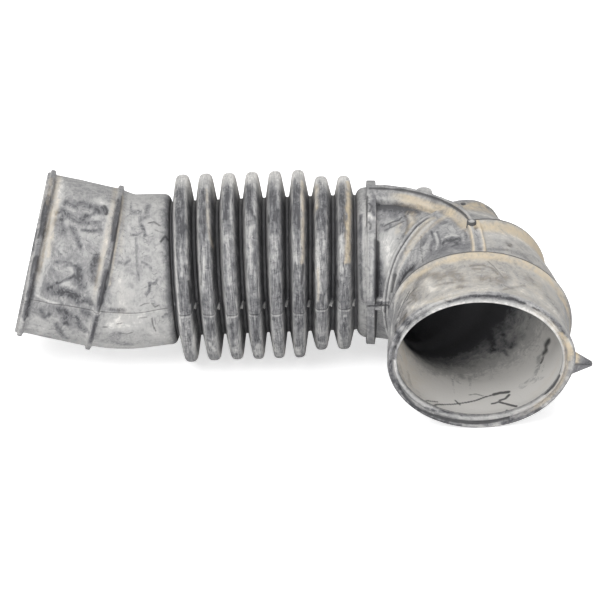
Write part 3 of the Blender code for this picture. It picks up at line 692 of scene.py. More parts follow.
elbowStrokes = {
    "mark": [
        (1, 0.6, 165.7, 70.7, 165.6, 33, 166.1, 0.4), (1.4, 0.6, 172.2, 84.7, 173.7, 66.1),
        (2.4, 0.65, 185.6, 32, 189.5, 19, 192.1, 8), (2, 0.6, 181.1, 61, 184.2, 58, 186.3, 62),
        (1, 0.6, 193, 73.6, 197.1, 68.9, 199.8, 62, 199.4, 56.3), (0.8, 0.7, 190.1, 1.5, 217.6, 6.9),
        (0.8, 0.7, 219.3, 67.9, 226, 64.9, 233.7, 62.5), (0.9, 0.8, 227.9, 62.8, 233.6, 58.7, 238.6, 59),
        (0.8, 0.6, 223.4, 70.1, 231.9, 67.5, 238.2, 65.6), (1.6, 0.85, 237.7, 68, 234.9, 71, 236.7, 72),
        (3.6, 0.85, 238.2, 74, 238.8, 78, 242.7, 77), (0.9, 0.6, 233.1, 85.6, 237.7, 85.4, 240.9, 83.4),
        (1.6, 0.7, 221.4, 61, 224.8, 56), (3, 0.5, 218.1, 78, 222.3, 84, 228.6, 86),
        (6, 0.45, 242.3, 56, 242.2, 67, 245.2, 82), (2.6, 0.9, 240.6, 42, 232.7, 37, 230.7, 26),
        (1.3, 0.85, 243.6, 111.5, 245.7, 111.8, 243.7, 114.1), (2.6, 0.4, 244.5, 112),
        (2, 0.5, 250.8, 92, 248.9, 106, 248.9, 121), (1.4, 0.8, 236, 92.6, 235.5, 95.4),
    ],
    # the broad one from 188 to 193 along, 32 to 48 degrees round, is a painted highlight, the satin sheen
    # on the tube
    "pale": [
        (0.8, 0.5, 166.9, 86.9, 166.7, 48.5, 167, 9.4), (1.4, 0.9, 169.7, 87, 171.3, 81.2),
        (1.9, 1.3, 170.5, 66, 172.9, 63), (0.6, 0.8, 168.1, 86.6, 168.1, 59.7),
        (1, 0.6, 170.1, 50.6, 171.8, 26, 174.5, 4.5), (1, 0.7, 174.3, 50.6, 177.8, 29.7, 180.3, 4.7),
        (3.6, 0.6, 188.2, 48, 191.4, 40, 193.3, 32), (1.2, 0.6, 194.8, 75.6, 200.2, 70.3),
        (2, 0.4, 200.7, 76, 202.2, 81), (0.8, 0.9, 188.4, 3.5, 218.1, 8.8),
        (0.7, 0.9, 205.9, 4.2, 216.5, 5.3), (0.8, 0.9, 217.1, 1.2, 217.2, -4.3), (0.9, 0.8, 220.3, 6.3),
        (1.4, 0.7, 213.6, 73.8, 214.8, 63.1, 215.7, 52.7, 218.1, 41.6),
        (1, 0.8, 217.8, 38.2, 219.4, 30.1, 222.3, 21.5), (0.8, 0.7, 223.1, 68.6, 233.6, 65, 239.1, 62.1),
        (0.8, 0.7, 232.2, 72.1, 232.9, 76.5, 235.9, 80.3), (0.9, 0.5, 235.1, 83, 241.4, 81.7),
        (2.6, 0.7, 218.3, 102, 220.6, 110, 222.3, 118),
        (5, 0.6, 239.3, 106, 237.3, 117, 236.6, 128, 238.7, 141),
        (2.4, 0.6, 242.5, 131, 243.8, 139, 244.6, 145),
    ],
    "crease": [
        (0.9, 0.8, 170, 76.9, 172, 74.1, 171, 69.4), (0.9, 0.8, 170.8, 60.2, 172.6, 58, 172, 54.9),
        (0.6, 0.8, 168.7, 84.7, 168.9, 72.6, 168.8, 59.7), (1.2, 1, 178.8, 47.4, 183.9, 26.5, 188.1, 6.7),
        (0.7, 0.85, 181.9, 60.8, 186.6, 65.3, 190.6, 68.5, 191.5, 71.9),
        (0.7, 0.7, 183.5, 57.6, 189.2, 62.3, 194.2, 68.8), (0.7, 1, 175.5, -0.6, 190.6, 0.4, 216.7, 4.6),
        (0.9, 1.2, 216.7, 4.4, 219.5, 2.7, 219.8, -0.5, 218.4, -6.9),
        (0.9, 0.8, 217.4, 28.5, 218.7, 21.4, 219.8, 15.5),
        (0.6, 0.7, 216.8, 60.6, 224, 54, 234.8, 50.7, 244.4, 50.9), (0.6, 0.6, 231, 55.9, 235.3, 57.6),
        (1.4, 1, 236.9, 40, 233.3, 35.1, 231.7, 28.7), (1.2, 1.1, 212.2, 105.4, 212.1, 108.1),
    ],
    # the first two lighten the tube's near side beyond the square rib: a painted highlight, its satin
    # sheen; the last one darkens the upper side
    "tone": [
        (4, 0.3, 186.9, 52, 191.7, 39, 195.9, 26), (5, 0.25, 188.8, 59, 208.8, 35, 218.5, 17),
        (5, -0.2, 180.3, 72, 189.1, 75, 198.2, 79),
    ],
    "ochre": [
        (3.4, 0.55, 195.6, 77, 200.4, 68, 201.5, 61), (2.6, 0.4, 192.6, 65, 194, 58),
        (1.6, 0.6, 211.9, 78, 213.5, 68, 215.1, 55, 216.6, 45), (2.6, 0.6, 219.8, 91, 227.9, 90, 232.6, 87),
        (2.4, 0.95, 214.2, 105, 213, 117, 212.5, 127, 214.1, 132), (5, 0.28, 239.5, 100, 247.3, 100),
        (1.6, 1, 232.6, 133, 232.6, 143, 233, 154),
    ],
}
insideStrokes = {
    "ochre": [
        (9, 0.5, 256, -25, 261.4, -32, 267.2, -39), (5, 0.35, 271.1, -160, 275.1, -149, 277.3, -132),
    ],
    "tone": [
        (8, 0.15, 259.2, -30, 267.2, -39), (16, 0.22, 270.3, -61, 267.7, -85, 265.4, -113, 264.7, -138),
        (10, 0.3, 254.7, -156, 266.3, -151, 271, -142),
    ],
    "mark": [
        (3.4, 0.75, 274.7, -23, 280.4, -29, 288.9, -33, 289.1, -44), (2, 0.6, 269.3, -34, 277, -38),
        (3, 1, 252.2, -140, 258.5, -136, 263.7, -133), (2.2, 0.7, 257.6, -143, 265.4, -141),
        (4.6, 0.8, 264.9, -122, 264.4, -128, 266.9, -136, 268.7, -141),
        (1.8, 1, 224.7, -120, 229.7, -116, 232.4, -112), (1.6, 1, 231.8, -111, 234, -118, 236.4, -125),
        (3, 0.9, 234.9, -124, 234.9, -130, 235.2, -136),
        (1.4, 0.8, 227.1, -129.5, 232.7, -122.2, 238.3, -119.1), (1.8, 0.9, 245.6, -80, 249, -82),
        (1.2, 0.5, 253.2, -76.3, 255.7, -79.3), (1.2, 0.5, 252.6, -74, 265.4, -74.8),
        (1.2, 0.5, 248.8, -86.4, 262.3, -86.1),
    ],
    "pale": [
        (7, 0.75, 254.4, -161, 263.8, -157, 270.3, -150), (6, 0.8, 276.6, -142, 277.2, -130, 276.7, -120),
        (5, 0.55, 287, -57, 281.1, -76, 279.1, -92),
    ],
    "crease": [
        (0.8, 1.2, 247.4, -162.1, 247.8, -157.5), (1.5, 1.2, 247.9, -156.7, 248.9, -150.8),
        (2.6, 1.2, 249, -150, 251.8, -145), (1.5, 0.9, 252.3, -143.6, 255.7, -140.4),
        (0.7, 0.9, 289.1, -45.2, 280.4, -53.7, 277.3, -62.1),
        (0.8, 1, 288.9, -51.3, 279.5, -62, 275.6, -72.7, 272.4, -81.5),
        (0.8, 1.1, 272.4, -81.5, 269.7, -89.6, 266.9, -96, 265.7, -101.6),
        (1.7, 1.2, 265.7, -102, 265.2, -106, 266.1, -112),
        (1.2, 1.1, 268.9, -112.4, 271.3, -109.8, 271.8, -105.9),
        (1, 1.1, 273.5, -100.3, 272.9, -105, 276.3, -110.3, 281, -117.1),
        (0.8, 0.9, 271.6, -75.3, 274.6, -78.3), (0.7, 0.7, 265, -85.1, 264, -89.9, 265.9, -94.5),
        (0.8, 0.9, 287.9, -106.1, 281.5, -109.9, 288.4, -116.3),
    ],
}


def hug(F, share):
    # the near side is drawn in a little before the mouth
    return 2.5 * np.clip(np.cos(F), 0, 1) ** 1.5 * share


def insideMarks(S, F):
    # darker further in: painted shade where the light does not reach, the farthest part painted near black;
    # toward the mouth lighter on the low and the outer side, partly dust and partly painted light
    tone = np.interp(S, [180, 212, 222, 232, 244, 256, 290], [-0.9, -0.6, -0.2, 0.3, 1.05, 1.5, 1.6])
    tone = tone + 0.3 * smoothStep(-np.cos(F - 50 * degree), -0.3, 0.9) - 0.1
    deepShade = 0.25 * smoothStep(np.cos(F + 45 * degree), 0.8, 1.0) * (1 - smoothStep(S, 240, 262))
    deepShade = np.maximum(deepShade, 1 - smoothStep(S, 213, 230))
    ochre = 0.5 * bump(np.cos(F) - 0.95, 0.4) * (S > 240)
    return paint(S, F, tone - deepShade, insideStrokes, crease=0.9 * deepShade, ochre=ochre)


def bendPlace(angle):
    return route["bendStart"] + route["bendRadius"] * angle * degree


def warp(s, phi):
    # ribs and rings have parallel planes, so near the inside of the bend they take up more of its angle
    e = elbow
    tubeSide = route["bendRadius"] - (e["tube"] + 1.5) * np.cos(phi)
    sleeveSide = route["bendRadius"] - e["sleeve"] * np.cos(phi)
    knots = [(e["start"], e["start"])]
    for place in (e["squareRibAt"] - e["squareRibWidth"] / 2, e["squareRibAt"] + e["squareRibWidth"] / 2):
        angle = np.arcsin((place - route["bendStart"]) / tubeSide)
        knots.append((place, route["bendStart"] + route["bendRadius"] * angle))
    for ringAngle, width in ((e["ringAngle"], e["ringWidth"]), (e["halfRingAngle"], e["halfRingWidth"])):
        for half in (-width / 2, width / 2):
            knots.append((bendPlace(ringAngle) + half,
                          bendPlace(ringAngle) + route["bendRadius"] * np.arcsin(half / sleeveSide)))
    knots.append((bendEnd + e["foot"], bendEnd + e["foot"]))
    placed = e["start"]
    for (low, lowTo), (high, highTo) in zip(knots[:-1], knots[1:]):
        placed = placed + (highTo - lowTo) * np.clip((s - low) / (high - low), 0, 1)
    return placed


def crownOutline(near, far, reach, foot, drop):
    # corners of the crown rib in a section: across toward the near side, and height
    top = elbow["crownHeight"]
    rise = foot + 0.28 * (top - foot)
    return np.array([(reach + 0.4, foot - drop), (reach, foot), (near + 0.34 * (reach - near), rise),
                     (near + 0.35, top - 1.3), (near, top), (far, top), (far - 0.25, foot - 3)])


def outlineRadius(outline, phi):
    # radius at each angle of an outline given by its corners, with slightly rounded corners
    t = np.linspace(0, 1, 41)[:, None]
    dense = np.vstack([a + t * (b - a) for a, b in zip(outline[:-1], outline[1:])])
    kernel = np.ones(13) / 13
    padded = np.pad(dense, ((6, 6), (0, 0)), mode="edge")
    dense = np.stack([np.convolve(padded[:, k], kernel, "valid") for k in (0, 1)], 1)
    angle = np.arctan2(dense[:, 1], dense[:, 0])
    radius = np.hypot(dense[:, 0], dense[:, 1])
    return np.interp(phi, angle, radius, left=0, right=0)


def makeElbow(look):
    e = elbow
    half = e["ringWidth"] / 2
    ring = bendPlace(e["ringAngle"])
    ribHalf = e["squareRibWidth"] / 2
    ribAt = e["squareRibAt"]
    bow = e["shoulderRounding"]
    turns = np.linspace(0, 90, 7) * degree
    corners = [(e["start"], e["root"], 0)]
    corners += [(e["start"] + bow * (1 - math.cos(t)), e["tube"] - bow * (1 - math.sin(t)), 0)
                for t in turns]
    corners += [(ribAt - ribHalf, e["tube"], 0.2), (ribAt - ribHalf, e["squareRibRadius"], 0.45),
                (ribAt + ribHalf, e["squareRibRadius"], 0.45), (ribAt + ribHalf, e["tube"], 0.35),
                (ring - half, e["tube"], 0.5), (ring - half * 0.8, e["ringRadius"], 0.5),
                (ring - half * 0.25, e["ringRadius"], 0.3), (ring, e["ringRadius"] - e["ringGroove"], 0.3),
                (ring + half * 0.25, e["ringRadius"], 0.3), (ring + half * 0.7, e["ringRadius"] - 0.3, 0.5),
                (ring + half, e["ringRadius"] - 1.6, 0.8), (ring + half * 1.9, e["sleeve"] + 0.4, 1.5),
                (ring + half * 3, e["sleeve"], 1.5), (bendEnd + e["foot"], e["sleeve"], 0)]
    s, r = profile(corners, 0.66)
    second = bendPlace(e["halfRingAngle"])
    s, r = refine(s, r, second - 2.6, second + 5.4, 24)
    phi = columns(e["columns"], [(0, 4, 1.6), (87, 16, 1.8), (180, 3, 0.4)])
    S, F = grid(s, phi)
    lower = np.clip(r - e["sleeve"], 0, 9)[:, None] * np.interp(F / degree, *e["ringLower"])
    R = r[:, None] - np.where(np.abs(S - ring) < 4.5, lower, 0)
    swell = np.clip((S - second) / (bendEnd - second), 0, 1)
    A = R + swell * (e["mouthWidth"] - e["sleeve"]) - hug(F, swell)
    B = R + swell * (e["mouthHeight"] - e["sleeve"])
    F360 = F % (2 * math.pi)
    fade = np.clip((e["halfRingEnd"] - F360 / degree) / (e["halfRingEnd"] - e["halfRingFull"]), 0, 1)
    fade = fade * smoothStep(F360, 90 * degree, 94 * degree)   # it ends under the peg
    lift = smoothStep(S - second, -1.9, -1.2) * (1 - smoothStep(S - second, -0.7, 5.2))
    lift = e["halfRingHeight"] * fade * lift
    angle = (warp(S, F) - route["bendStart"]) / route["bendRadius"] / degree
    path = np.array(crownPath)
    sections = np.stack([outlineRadius(crownOutline(*row[1:]), phi) for row in path])
    step = np.clip(np.interp(angle, path[:, 0], np.arange(len(path))), 0, len(path) - 1.001)
    below = step.astype(int)
    column = np.arange(len(phi))[None, :]
    crown = sections[below, column] * (1 - step + below) + sections[below + 1, column] * (step - below)
    crown = crown * smoothStep(angle, e["crownStart"] - 0.3, e["crownStart"] + 0.6)
    crown = crown * (angle < e["crownEnd"] + 1)
    base = (A + B) / 2
    add = np.maximum(crown - base, 0)
    across = base * np.cos(F)
    bandCentre = np.interp(angle, [66, 70, 78, 88], [-1.9, -1.6, -0.9, -0.1])
    bandHalf = np.interp(angle, [66, 88], [3.0, 3.1])
    bandOff = np.abs(across - bandCentre)
    onTop = (np.sin(F) > 0) * smoothStep(angle, e["crownEnd"] - 1, e["crownEnd"])
    hollow = 0.5 * (1 - smoothStep(bandOff, bandHalf - 1.9, bandHalf - 1.3)) * smoothStep(angle, 71, 75)
    band = np.interp(angle, [68, 73, 80], [3.8, 2.4, e["bandHeight"]]) * (1 - hollow) * onTop
    band = band * (1 - smoothStep(bandOff, bandHalf - 0.3, bandHalf + 0.4))
    near = (F - partingAngle(S)) * R
    web = np.maximum(1 - smoothStep(np.abs(near + 0.1), 1.35, 1.6),
                     0.4 * (1 - smoothStep(np.abs(near - 2), 1.9, 2.3)))
    web = np.clip(e["webRadius"] - R, 0, 4) * web \
        * (np.abs(S - (ribAt + ring) / 2) < (ring - ribAt) / 2) * (np.cos(F) > 0)
    add = np.maximum(np.maximum(add, lift), np.maximum(band, web))
    placed = warp(S, F)
    shape = paint(placed, F, 0, elbowStrokes)
    add = add + 0.18 * wobble(S, F, 31, 40) * (add < 0.05) - 0.4 * shape["crease"]
    line = partingLine(S, F, A) * smoothStep(S, e["start"] + 2, e["start"] + 4) * (S < ring - half)
    A, B = A + add + line, B + add + line
    outer = skin(placed, F, A, B)
    wall = e["wall"]
    inCorners = [(bendEnd + e["foot"], e["sleeve"] - wall, 0), (ring + 3.4, e["sleeve"] - wall, 2),
                 (ring - 3.4, e["tube"] - wall, 2), (e["start"] + 3, e["tube"] - wall, 2),
                 (e["start"], e["root"] - 2.2, 0)]
    si, ri = innerProfile(inCorners, 2.6)
    inS, inF = grid(si, phi)
    swell = np.clip((inS - second) / (bendEnd - second), 0, 1)
    inner = skin(inS, inF, ri[:, None] + swell * (e["mouthWidth"] - e["sleeve"]) - hug(inF, swell),
                 ri[:, None] + swell * (e["mouthHeight"] - e["sleeve"]) + 0 * inF)

    # the paint: dark rubbed edges, a painted shadow at the foot of the square rib and under the ledge,
    # painted shade in the groove where the shoulder starts, a painted highlight on the ledge, dust behind
    # them, cream in the fillets
    upper = smoothStep(np.sin(F), 0.3, 0.75)
    tone = 0.46 - 0.12 * bump(S - ribAt, 2.4) + 0.1 * (S < ribAt - 3)
    tone = tone + 0.3 * smoothStep(S, ring, second) * smoothStep(-np.cos(F), -0.25, 0.1)
    rubAndShadow = 0.85 * bump(S - ring, 0.55) + 0.7 * bump(S - ring + half * 0.95, 0.5)
    rubAndShadow = rubAndShadow + 0.5 * bump(S - ring - half * 0.9, 0.6)
    nearEdge = np.interp(angle, path[:, 0], path[:, 1])
    onCrown = (angle > 3) * (angle < e["crownEnd"]) * (np.sin(F) > 0)
    ringSide = 1 - smoothStep(F, 72 * degree, 80 * degree)
    rubAndShadow = rubAndShadow * ringSide + 0.35 * rubAndShadow * smoothStep(F, 100 * degree, 120 * degree)
    rubAndShadow = np.maximum(rubAndShadow, 1.1 * bump(across - nearEdge * 0.93 - 0.1, 0.36) * onCrown)
    rubAndShadow = np.maximum(rubAndShadow, 1.2 * bump(S - second + 0.9, 0.75) * (fade > 0.1))
    # painted shadow along the foot of the square rib on its mouth side, all round but the top
    foot = 0.95 * bump(S - ribAt - ribHalf + 0.1, 0.26) * smoothStep(-np.sin(F), -0.96, -0.8)
    rubAndShadow = np.maximum(rubAndShadow, foot)
    # painted shade in the groove where the shoulder starts
    crease = np.maximum(rubAndShadow, 0.7 * (1 - smoothStep(S, e["start"], e["start"] + 1.0)))
    crease = np.maximum(crease, 0.6 * bump(near, 0.3) * (S < ring - half) * (S > e["start"] + 2))
    ledge = np.interp(angle, path[:, 0], path[:, 3])
    # painted shadow under the ledge on the crown, fading out before the ring
    shade = smoothStep(across - ledge, -0.4, 0.4) * (1 - smoothStep(across - ledge, 1.5, 7.5)) \
        * onCrown * (1 - smoothStep(angle, 25, 41)) * (S > ribAt + ribHalf)
    pale = (0.7 * bump(S - ring + half * 0.55, 0.4) + 0.6 * bump(S - ring - half * 0.5, 0.4)) * ringSide
    pale = pale + 0.95 * bump(bandOff - bandHalf + 0.7, 0.75) * onTop
    # painted highlight on the ledge just inside its edge
    pale = pale + 0.35 * bump(across - ledge + 1.6, 1.0) * onCrown
    fillet = smoothStep(across - nearEdge, 0.4, 1.4) * (1 - smoothStep(across - nearEdge, 3.5, 7)) * onCrown
    ochre = 0.75 * fillet * smoothStep(angle, 8, 26) + 0.5 * bump(S - ring - half * 2.2, 2.0) * upper
    ochre = ochre + 0.9 * bump(bandOff - bandHalf + 0.5, 0.9) * onTop
    ochre = ochre + 0.85 * bump(S - second - 2.6, 2.2) * (fade > 0.1)
    ochre = ochre + 0.25 * smoothStep(-np.cos(F), 0.0, 0.4) * (S > ring)
    marks = paint(placed, F, tone - 0.75 * shade - 0.3 * bump(bandOff, 1.0) * onTop, elbowStrokes,
                  ochre=ochre, crease=crease, pale=pale)
    return closedSkin("hose_elbow", outer, inner, joined(marks, insideMarks(inS, inF)), look)


# Mouth: bead, oval sleeve, lipped rim with its groove, and the wall inside
mouth = {
    "start": bendEnd + 0.5, "halfWidth": 44.4, "halfHeight": 38.7, "beadAt": 2.2, "beadHeight": 1.9,
    "beadWidth": 3.4, "wall": 2.9, "lipHeight": 0.25, "faceWidth": 4.9, "grooveDepth": 1.0, "rimDepth": 4.5,
    "columns": 520, "tabSwell": 1.5, "tabAt": 177,
}


mouthStrokes = {
    "ochre": [
        (1.8, 0.9, 256.3, 73, 256.1, 84, 256.1, 98, 256.5, 108),
        (3, 1, 256.8, 119, 256.8, 130, 257.8, 142, 260, 153),
        (1.6, 0.9, 259.4, 156, 259.4, 165, 263.3, 171),
        (2.6, 0.5, 281.9, 42, 287.2, 50, 289.5, 68, 286.2, 103),
        (5, 0.32, 264.9, 108, 267.2, 119, 279.2, 126), (3, 0.4, 268.5, 150, 274.2, 158, 282.9, 160),
        (1.6, 0.9, 291.6, 155, 291.2, 165, 290.8, 174),
        (0.8, 0.9, 290.7, 163.9, 290.9, 171.7, 291.4, 179.5),
        (1.4, 0.6, 292.3, -130.8, 291.8, -143.4, 291.5, -154.2, 291.8, -163.9),
    ],
    "crease": [
        (0.6, 0.6, 260.7, 95.3, 264.9, 98.7, 269.9, 101.9, 273.1, 103.9),
        (0.9, 1, 265.2, 38.3, 268.3, 34.5, 271.9, 29.4, 277.2, 26.2),
        (0.8, 0.8, 266.9, 43.8, 267.9, 39.3, 271.1, 36.5), (0.7, 0.8, 284.8, 28.4, 279.6, 30.5, 276, 33.6),
        (0.8, 1.1, 295.5, -127.3, 295.2, -136.2, 294.2, -146.3, 293.9, -155.1, 294.1, -164.8),
        (0.8, 1.1, 291.1, -30.3, 290.6, -42, 291, -54.9, 291.5, -70.1, 291.8, -91.5, 292.2, -110.9),
        (0.6, 0.8, 291.7, -22.5, 291.1, -33.4, 291.2, -42.9),
    ],
    # those from 290 along on lie on the rim's face, counted inward from its outer edge: scuffs and painted
    # shade, mostly along its outer rounding and groove
    "mark": [
        (1.2, 0.7, 265.2, 84.4, 264.5, 91.6, 266.9, 97.1, 271.9, 101.1), (1, 0.6, 268.1, 85.7, 268.2, 92.8),
        (3.4, 0.6, 268.5, 72, 275.1, 77, 282.5, 78), (3, 0.5, 263.1, 58, 270.4, 64, 267.9, 70),
        (4, 0.5, 276.3, 92, 279, 101, 273.6, 106),
        (5, 0.45, 267.6, 122, 268.7, 130, 273.5, 139, 276.7, 146),
        (1.2, 0.6, 286.5, 101.6, 279.9, 112.2, 275.6, 118.4),
        (1.4, 0.5, 275.5, 60.9, 277.6, 71.7, 281.3, 82.1), (3, 0.85, 285, 30, 283.1, 34, 290.9, 36),
        (2.2, 0.8, 282, 24, 290.8, 25, 292.4, 18), (2.6, 0.6, 262.6, 46, 269.9, 43, 278.2, 45),
        (1, 0.7, 274.7, 37.4, 276.5, 41.9, 275.1, 46.1), (2.4, 0.7, 292.4, 11, 292.5, 3),
        (3.6, 0.6, 261.4, 49, 260.8, 54),
        (1.5, 1, 292.3, 67.5, 291.4, 78.3, 291.4, 90.2, 291.2, 103.6, 290.9, 118.4),
        (1.4, 1, 291, 126.2, 290.5, 138.3, 290.2, 148.4, 290.4, 159.1),
        (1.4, 0.8, 293.2, 52.6, 293.4, 42.8, 293.7, 31.6),
        (1.6, 0.9, 290.6, -1, 290.3, -10, 290.5, -20, 290.7, -30),
        (1.5, 0.8, 289.8, -37.6, 290, -62, 289.8, -78.4),
        (1.4, 0.8, 290.5, -106.3, 290.4, -121.1, 290.2, -133.4),
        (0.9, 0.8, 292.6, -51.7, 294.2, -66.8, 294.9, -87.3, 295.6, -108.6),
    ],
    # those from about 292.5 to 294.5 along lie on the rim's inner lip: scuffs and painted highlight there
    "pale": [
        (3, 0.9, 267.9, 55, 278.5, 59), (2, 0.7, 282.1, 66, 279.3, 75, 281.3, 82),
        (3.6, 0.8, 289.4, 71, 287.4, 85, 285.8, 100), (3, 0.95, 282.3, 43, 286.7, 51),
        (4, 0.5, 277.1, 109, 281.3, 118, 280.9, 132), (4, 0.55, 281.3, 138, 280.7, 148, 287.4, 154),
        (1.5, 1.1, 256.7, 33.1, 256.8, 25.9, 259.1, 17.4, 270.9, 15.5, 283.7, 17.1),
        (0.7, 1, 268.2, 31.3, 272.7, 28.3, 279.1, 26.3), (1, 0.8, 277.5, 37.4, 284.1, 39.9),
        (1.6, 1.1, 294, 69, 294.3, 74), (1.4, 1.1, 294.4, 96.1, 294.1, 107.3),
        (1.4, 1.1, 294, 117, 293.7, 124.1, 293.4, 129.8), (1.4, 1.1, 293.6, 135.3, 293.4, 138.9),
        (1.5, 1.1, 293, 146.4, 292.5, 151.3), (1.2, 1, 292.6, 9.8, 292, 2.9),
        (1.2, 0.9, 293, -0.4, 292.6, -9.4, 292.4, -16.5), (1.6, 1, 290.3, 157, 289.8, 167),
        (1.3, 0.8, 289.4, -91.5, 289.5, -103.7), (1.2, 0.8, 289.9, -138.9),
    ],
}


def makeMouth(look):
    m = mouth
    bead = bendEnd + m["beadAt"]
    half = m["beadWidth"] / 2
    end = ductEnd
    corners = [(m["start"], 0, 0), (bead - half * 0.7, m["beadHeight"], 0.4),
               (bead - half * 0.1, m["beadHeight"], 0.6),
               (bead + half, 0.7, 1.2), (bead + half * 3, 0, 1.5), (end - m["rimDepth"], 0, 1.0),
               (end - m["rimDepth"] * 0.5, m["lipHeight"], 1.0),
               (end - 0.2, m["lipHeight"], 0.5), (end, -0.35, 0.4), (end, -2.0, 0.3),
               (end - m["grooveDepth"], -2.4, 0.3), (end - m["grooveDepth"], -3.0, 0.3),
               (end - 0.27, -3.4, 0.3),
               (end - 0.2, -m["faceWidth"] + 0.3, 0.5), (end - 1.2, -m["faceWidth"], 0.5),
               (end - m["rimDepth"] * 0.62, -m["faceWidth"], 0.5), (end - m["rimDepth"], -m["wall"], 1.2),
               (m["start"], -m["wall"], 0)]
    rowsS, rowsH = profile(corners, 0.66)
    phi = columns(m["columns"], [(0, 4, 0.8)])
    S, F = grid(rowsS, phi)
    H = rowsH[:, None] + 0 * F
    outside = (np.arange(len(rowsS)) < np.argmax(rowsS >= end - 1e-6) + 1)[:, None]
    along = np.where((S > end - 1.3) & (H < -0.3), end - H, S)   # on the rim's face, inward from its edge
    engraved = 0.35 * paint(along, F, 0, mouthStrokes)["crease"]
    H = H + (0.18 * wobble(S, F, 41, 40) * (1 - smoothStep(S, end - 3, end)) - engraved) * outside
    H = H + 0.1 * wobble(F * 9, F, 43, 20) * (~outside) * smoothStep(S, end - 2, end)
    nick = 1.1 * bump(F * skinRadius, 1.2) * smoothStep(S, end - 3, end - 1) * outside
    wide = smoothStep(-rowsH, 1.5, 4.9)[:, None] * smoothStep(S, end - 6, end - 4)
    drawn = hug(F, 1 - smoothStep(S, m["start"] + 3, end - 9))
    swell = m["tabSwell"] * bump(F - m["tabAt"] * degree, 0.33) * smoothStep(S, end - 7, end - 3)
    swell = swell * (outside | (H > -1.5))
    points = skin(S, F, m["halfWidth"] + H - nick + 0.3 * wide - drawn + swell,
                  m["halfHeight"] + H - 1.3 * wide)
    face = smoothStep(S, end - 1.6, end - 0.4)
    upper = smoothStep(np.sin(F), 0.1, 0.8)
    right = smoothStep(-np.cos(F), 0.2, 0.9)
    tone = 0.45 + 0.2 * upper + 0.4 * right * upper
    # on the rim's face: painted shade on its outer rounding, painted highlight on its inner lip, and
    # lighter on the lower half
    tone = tone + face * (0.16 * (H < -3.2) - 0.18 * (H > -2.2) + 0.12 * (np.sin(F) < 0))
    ochre = 0.38 * upper + 0.6 * bump(S - bead - half * 1.3, 1.8) * np.maximum(upper, right)
    ochre = ochre * outside * (1 - face) + 0.7 * face * right * bump(H + 2.8, 1.3)
    # painted shade in the rim's groove and on its outer rounding, less on the right side above the bottom
    # and beside the tab
    crease = 0.9 * face * bump(H + 2.7, 0.4) * (1 - 0.8 * right * (np.sin(F) > -0.2)) \
        + 0.5 * face * bump(H + 0.1, 0.35) * (1 - bump(F - m["tabAt"] * degree, 0.14))
    beadLine = 1.15 * bump(S - bead + half * 0.5, 0.7) * outside * smoothStep(np.sin(F), -0.5, 0.0)
    crease = np.maximum(crease, beadLine)
    # painted highlight on the inner lip of the upper half, and a lighter line just inside the outer
    # rounding
    pale = face * (0.75 * bump(H + 4.3, 0.6) * smoothStep(np.sin(F), -0.2, 0.5) + 0.5 * bump(H + 0.9, 0.35))
    marks = paint(along, F, tone, mouthStrokes, ochre=ochre, crease=crease, pale=pale)
    inside = insideMarks(S, F)
    onFace = outside | (S > end - 4.2)
    marks = {key: np.where(onFace, marks[key], inside[key]) for key in marks}
    return closedSkin("hose_mouth", points, points[:0], marks, look)


# Small solids on the duct: round posts turned from a profile, and the pointed tab
posts = {
    "peg": {"angle": 68.6, "across": -0.9, "radius": 2.3, "top": 44.6, "foot": 38.8, "flare": 0.2,
            "dark": 1.0},
    "boss": {"angle": 28.5, "across": -7.5, "radius": 4.0, "top": 41.4, "foot": 35.1, "flare": 1.2,
             "dark": 0.0},
}


def directions(place):
    # the route's centre there, and the directions to the near side, along the duct and up
    s = np.array([place])
    centre = skin(s, np.array([0.0]), np.array([0.0]))
    near = skin(s, np.array([0.0]), np.array([1.0])) - centre
    up = skin(s, np.array([math.pi / 2]), np.array([1.0])) - centre
    return centre, near, np.cross(up, near), up


def makePost(name, look):
    # a turned profile: flared foot, straight side, rounded edge and a slightly dished top
    p = posts[name]
    radius, top = p["radius"], p["top"]
    corners = [(0, p["foot"], 0), (radius + p["flare"], p["foot"], 0), (radius + p["flare"], top - 3.2, 0),
               (radius, top - 2.4, 0.8), (radius, top, 0.6), (radius * 0.6, top, 0.3),
               (radius * 0.45, top - 0.35, 0.3), (0, top - 0.4, 0)]
    out, height = [x[1:-1] for x in profile(corners, 0.35)]
    turn = np.arange(56) / 56 * 2 * math.pi
    centre, near, along, up = directions(bendPlace(p["angle"]))
    points = centre + (p["across"] + out[:, None] * np.cos(turn))[..., None] * near \
        + (out[:, None] * np.sin(turn))[..., None] * along + height[:, None, None] * up
    ends = [centre + p["across"] * near + z * up for z in (p["foot"], top - 0.4)]
    edge = smoothStep(out, radius * 0.5, radius * 0.8)[:, None] * p["dark"] + 0 * turn
    edge = np.append(edge, [0, 0])
    layers = {"tone": 0.55, "ochre": 0.1, "mark": 0.0, "pale": 0.3, "crease": edge}
    layers = {key: value + 0 * edge for key, value in layers.items()}
    return cappedSkin("hose_" + name, points, ends, layers, (0.35, 0.11 * radius), look)


tab = {"length": 10.0, "halfHeight": 6.4, "tip": 0.8, "thickness": 3.6, "drop": 1.9, "tipDrop": 1.0,
       "base": 42.4, "back": 1.9, "squareness": 0.42}


